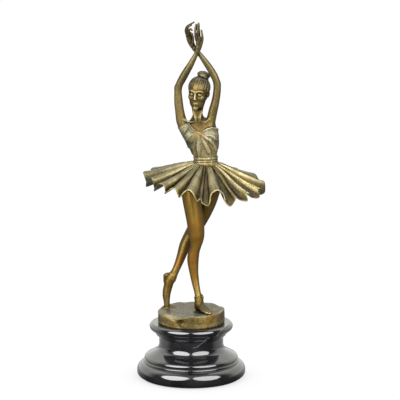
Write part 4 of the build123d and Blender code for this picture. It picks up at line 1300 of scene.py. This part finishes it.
materials = {
    "bronze_flesh": cast_bronze("bronze_flesh", FLESH_TONES, HAIR_TONES, LEG_STAINS, FLESH_PAINTED_LIGHT_AND_SHADE),
    "bronze_bodice": cast_bronze("bronze_bodice", FLESH_TONES, BODICE_TONES, KNOT_STAINS, BODICE_PAINTED_SHADE),
    "bronze_cloth": cast_bronze("bronze_cloth", CLOTH_TONES, CLOTH_TONES, (), SKIRT_PAINTED_SHADE, 0.2, 0.2, 3.0),
    "bronze_plinth": cast_bronze("bronze_plinth", PLINTH_TONES, PLINTH_TONES, (), PLINTH_PAINTED_SHADE, 0.4, 0.9),
    "marble": polished_marble("marble"),
    "steel_fixing": plated_steel("steel_fixing"),
    "bronze_pin": drawn_bronze("bronze_pin"),
    "baize": green_baize("baize"),
}
KEPT_NODES = {
    "marble": ("marble_foot", "marble_cap"),
    "baize": ("baize_pad",),
    "steel_fixing": ("threaded_rod", "clamp_washer", "spring_washer", "hex_nut"),
    "bronze_pin": ("foot_dowels", "hip_dowels", "shoulder_dowels", "neck_dowel", "waist_cross_pin"),
}
for slot_name, node_names in KEPT_NODES.items():
    for node_name in node_names:
        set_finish(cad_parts[node_name], slot_name)
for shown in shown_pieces():
    finish = "bronze_bodice" if shown.name == "chest_and_bodice" else shown["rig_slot"]
    shown.data.materials.clear()
    shown.data.materials.append(materials[finish])

# --- floor, light and camera

scene = bpy.context.scene
scene.view_settings.view_transform = "Standard"


def look_at(item, place, target):
    item.location = place
    item.rotation_euler = (Vector(target) - Vector(place)).to_track_quat("-Z", "Y").to_euler()
    scene.collection.objects.link(item)


FLOOR_HALF = 6.0
floor_mesh = bpy.data.meshes.new("floor")
square = [(x * FLOOR_HALF, y * FLOOR_HALF, 0) for x, y in ((-1, -1), (1, -1), (1, 1), (-1, 1))]
floor_mesh.from_pydata(square, [], [(0, 1, 2, 3)])
floor = bpy.data.objects.new("floor", floor_mesh)
scene.collection.objects.link(floor)
floor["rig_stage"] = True
paper = Shader("paper")
grain = paper.noise(2.0, 4.0)
# painted shade: the paper is near-black to every ray but the camera's
shaded_paper = paper.ramp(grain, (0.0, (0.035, 0.035, 0.035)), (1.0, (0.045, 0.045, 0.045)))
matt = paper.node("BsdfDiffuse", {"Color": shaded_paper})
across, back, _ = paper.parts(paper.place)
beside = paper.plus(back, paper.times(paper.math("ABSOLUTE", across), 0.30))
# painted light: the floor behind and beside the socle glows to every ray but the camera's, so that the marble
# reflects it
painted_floor_glow = paper.node("Emission", {"Strength": paper.span(beside, -0.01, 0.06, 0.0, 0.6)})
lower = paper.node("AddShader", {0: matt.outputs[0], 1: painted_floor_glow.outputs[0]})
# painted shadow: a contact shadow round the socle, by ambient occlusion, on the floor that the camera sees
painted_contact_shadow = paper.span(paper.hollows(45.0), 0.0, 1.0, 0.70, 1.02)
glow = paper.node("Emission", {"Strength": painted_contact_shadow})
paper.node("OutputMaterial", {"Surface": paper.for_camera(glow, lower)})
floor_mesh.materials.append(paper.owner)

studio = Shader("studio", bpy.data.worlds)
_, back, up = studio.parts(studio.coordinates["Generated"])
strength = studio.plus(studio.span(back, -0.08, 0.30, 0.03, 1.5), studio.span(up, 0.55, 0.95, 0.0, 0.55))
walls = studio.node("Background", {"Color": (1.0, 1.0, 0.94, 1.0), "Strength": strength})
plain = studio.node("Background", {"Color": (1.0, 1.0, 1.0, 1.0), "Strength": 1.0})
studio.node("OutputWorld", {"Surface": studio.for_camera(plain, walls)})
scene.world = studio.owner

# (name, azimuth and elevation in degrees, distance, width and height in metres, radiance, rays not lit)
LIGHTS = [
    ("box_left", -39, 30, 1.7, 1.8, 1.9, 8.5, "diffuse"),
    ("box_right", 37, 30, 1.7, 1.8, 1.9, 7, "diffuse"),
    ("key_left", -36, 16, 2.2, 1.6, 1.4, 17, "glossy"),
    ("fill_right", 30, 10, 2.4, 1.6, 1.4, 15, "glossy"),
]
LIGHT_AIM = Vector((0.0, 0.0, 0.18))
CAMERA_PLACE = (0, -2.222, 0.604)
CAMERA_AIM = (0, 0, 0.200)
CAMERA_LENS = 185.9
CAMERA_SHIFT = (0.022, -0.005)


def softbox(name, azimuth, elevation, distance, width, height, radiance, unlit):
    """An area light with an oval face; azimuth 0 is the front, positive towards the figure's left."""
    light = bpy.data.lights.new(name, "AREA")
    light.shape = "ELLIPSE"
    light.size = width
    light.size_y = height
    light.energy = radiance * math.pi * width * height * math.pi / 4
    a, e = math.radians(azimuth), math.radians(elevation)
    way = Vector((math.sin(a) * math.cos(e), -math.cos(a) * math.cos(e), math.sin(e)))
    item = bpy.data.objects.new(name, light)
    look_at(item, LIGHT_AIM + distance * way, LIGHT_AIM)
    item.visible_camera = False
    setattr(item, "visible_" + unlit, False)


for light in LIGHTS:
    softbox(*light)

camera = bpy.data.cameras.new("camera")
camera.sensor_width = 36.0
camera.lens = CAMERA_LENS
camera.shift_x, camera.shift_y = CAMERA_SHIFT
camera_item = bpy.data.objects.new("camera", camera)
look_at(camera_item, CAMERA_PLACE, CAMERA_AIM)
scene.camera = camera_item
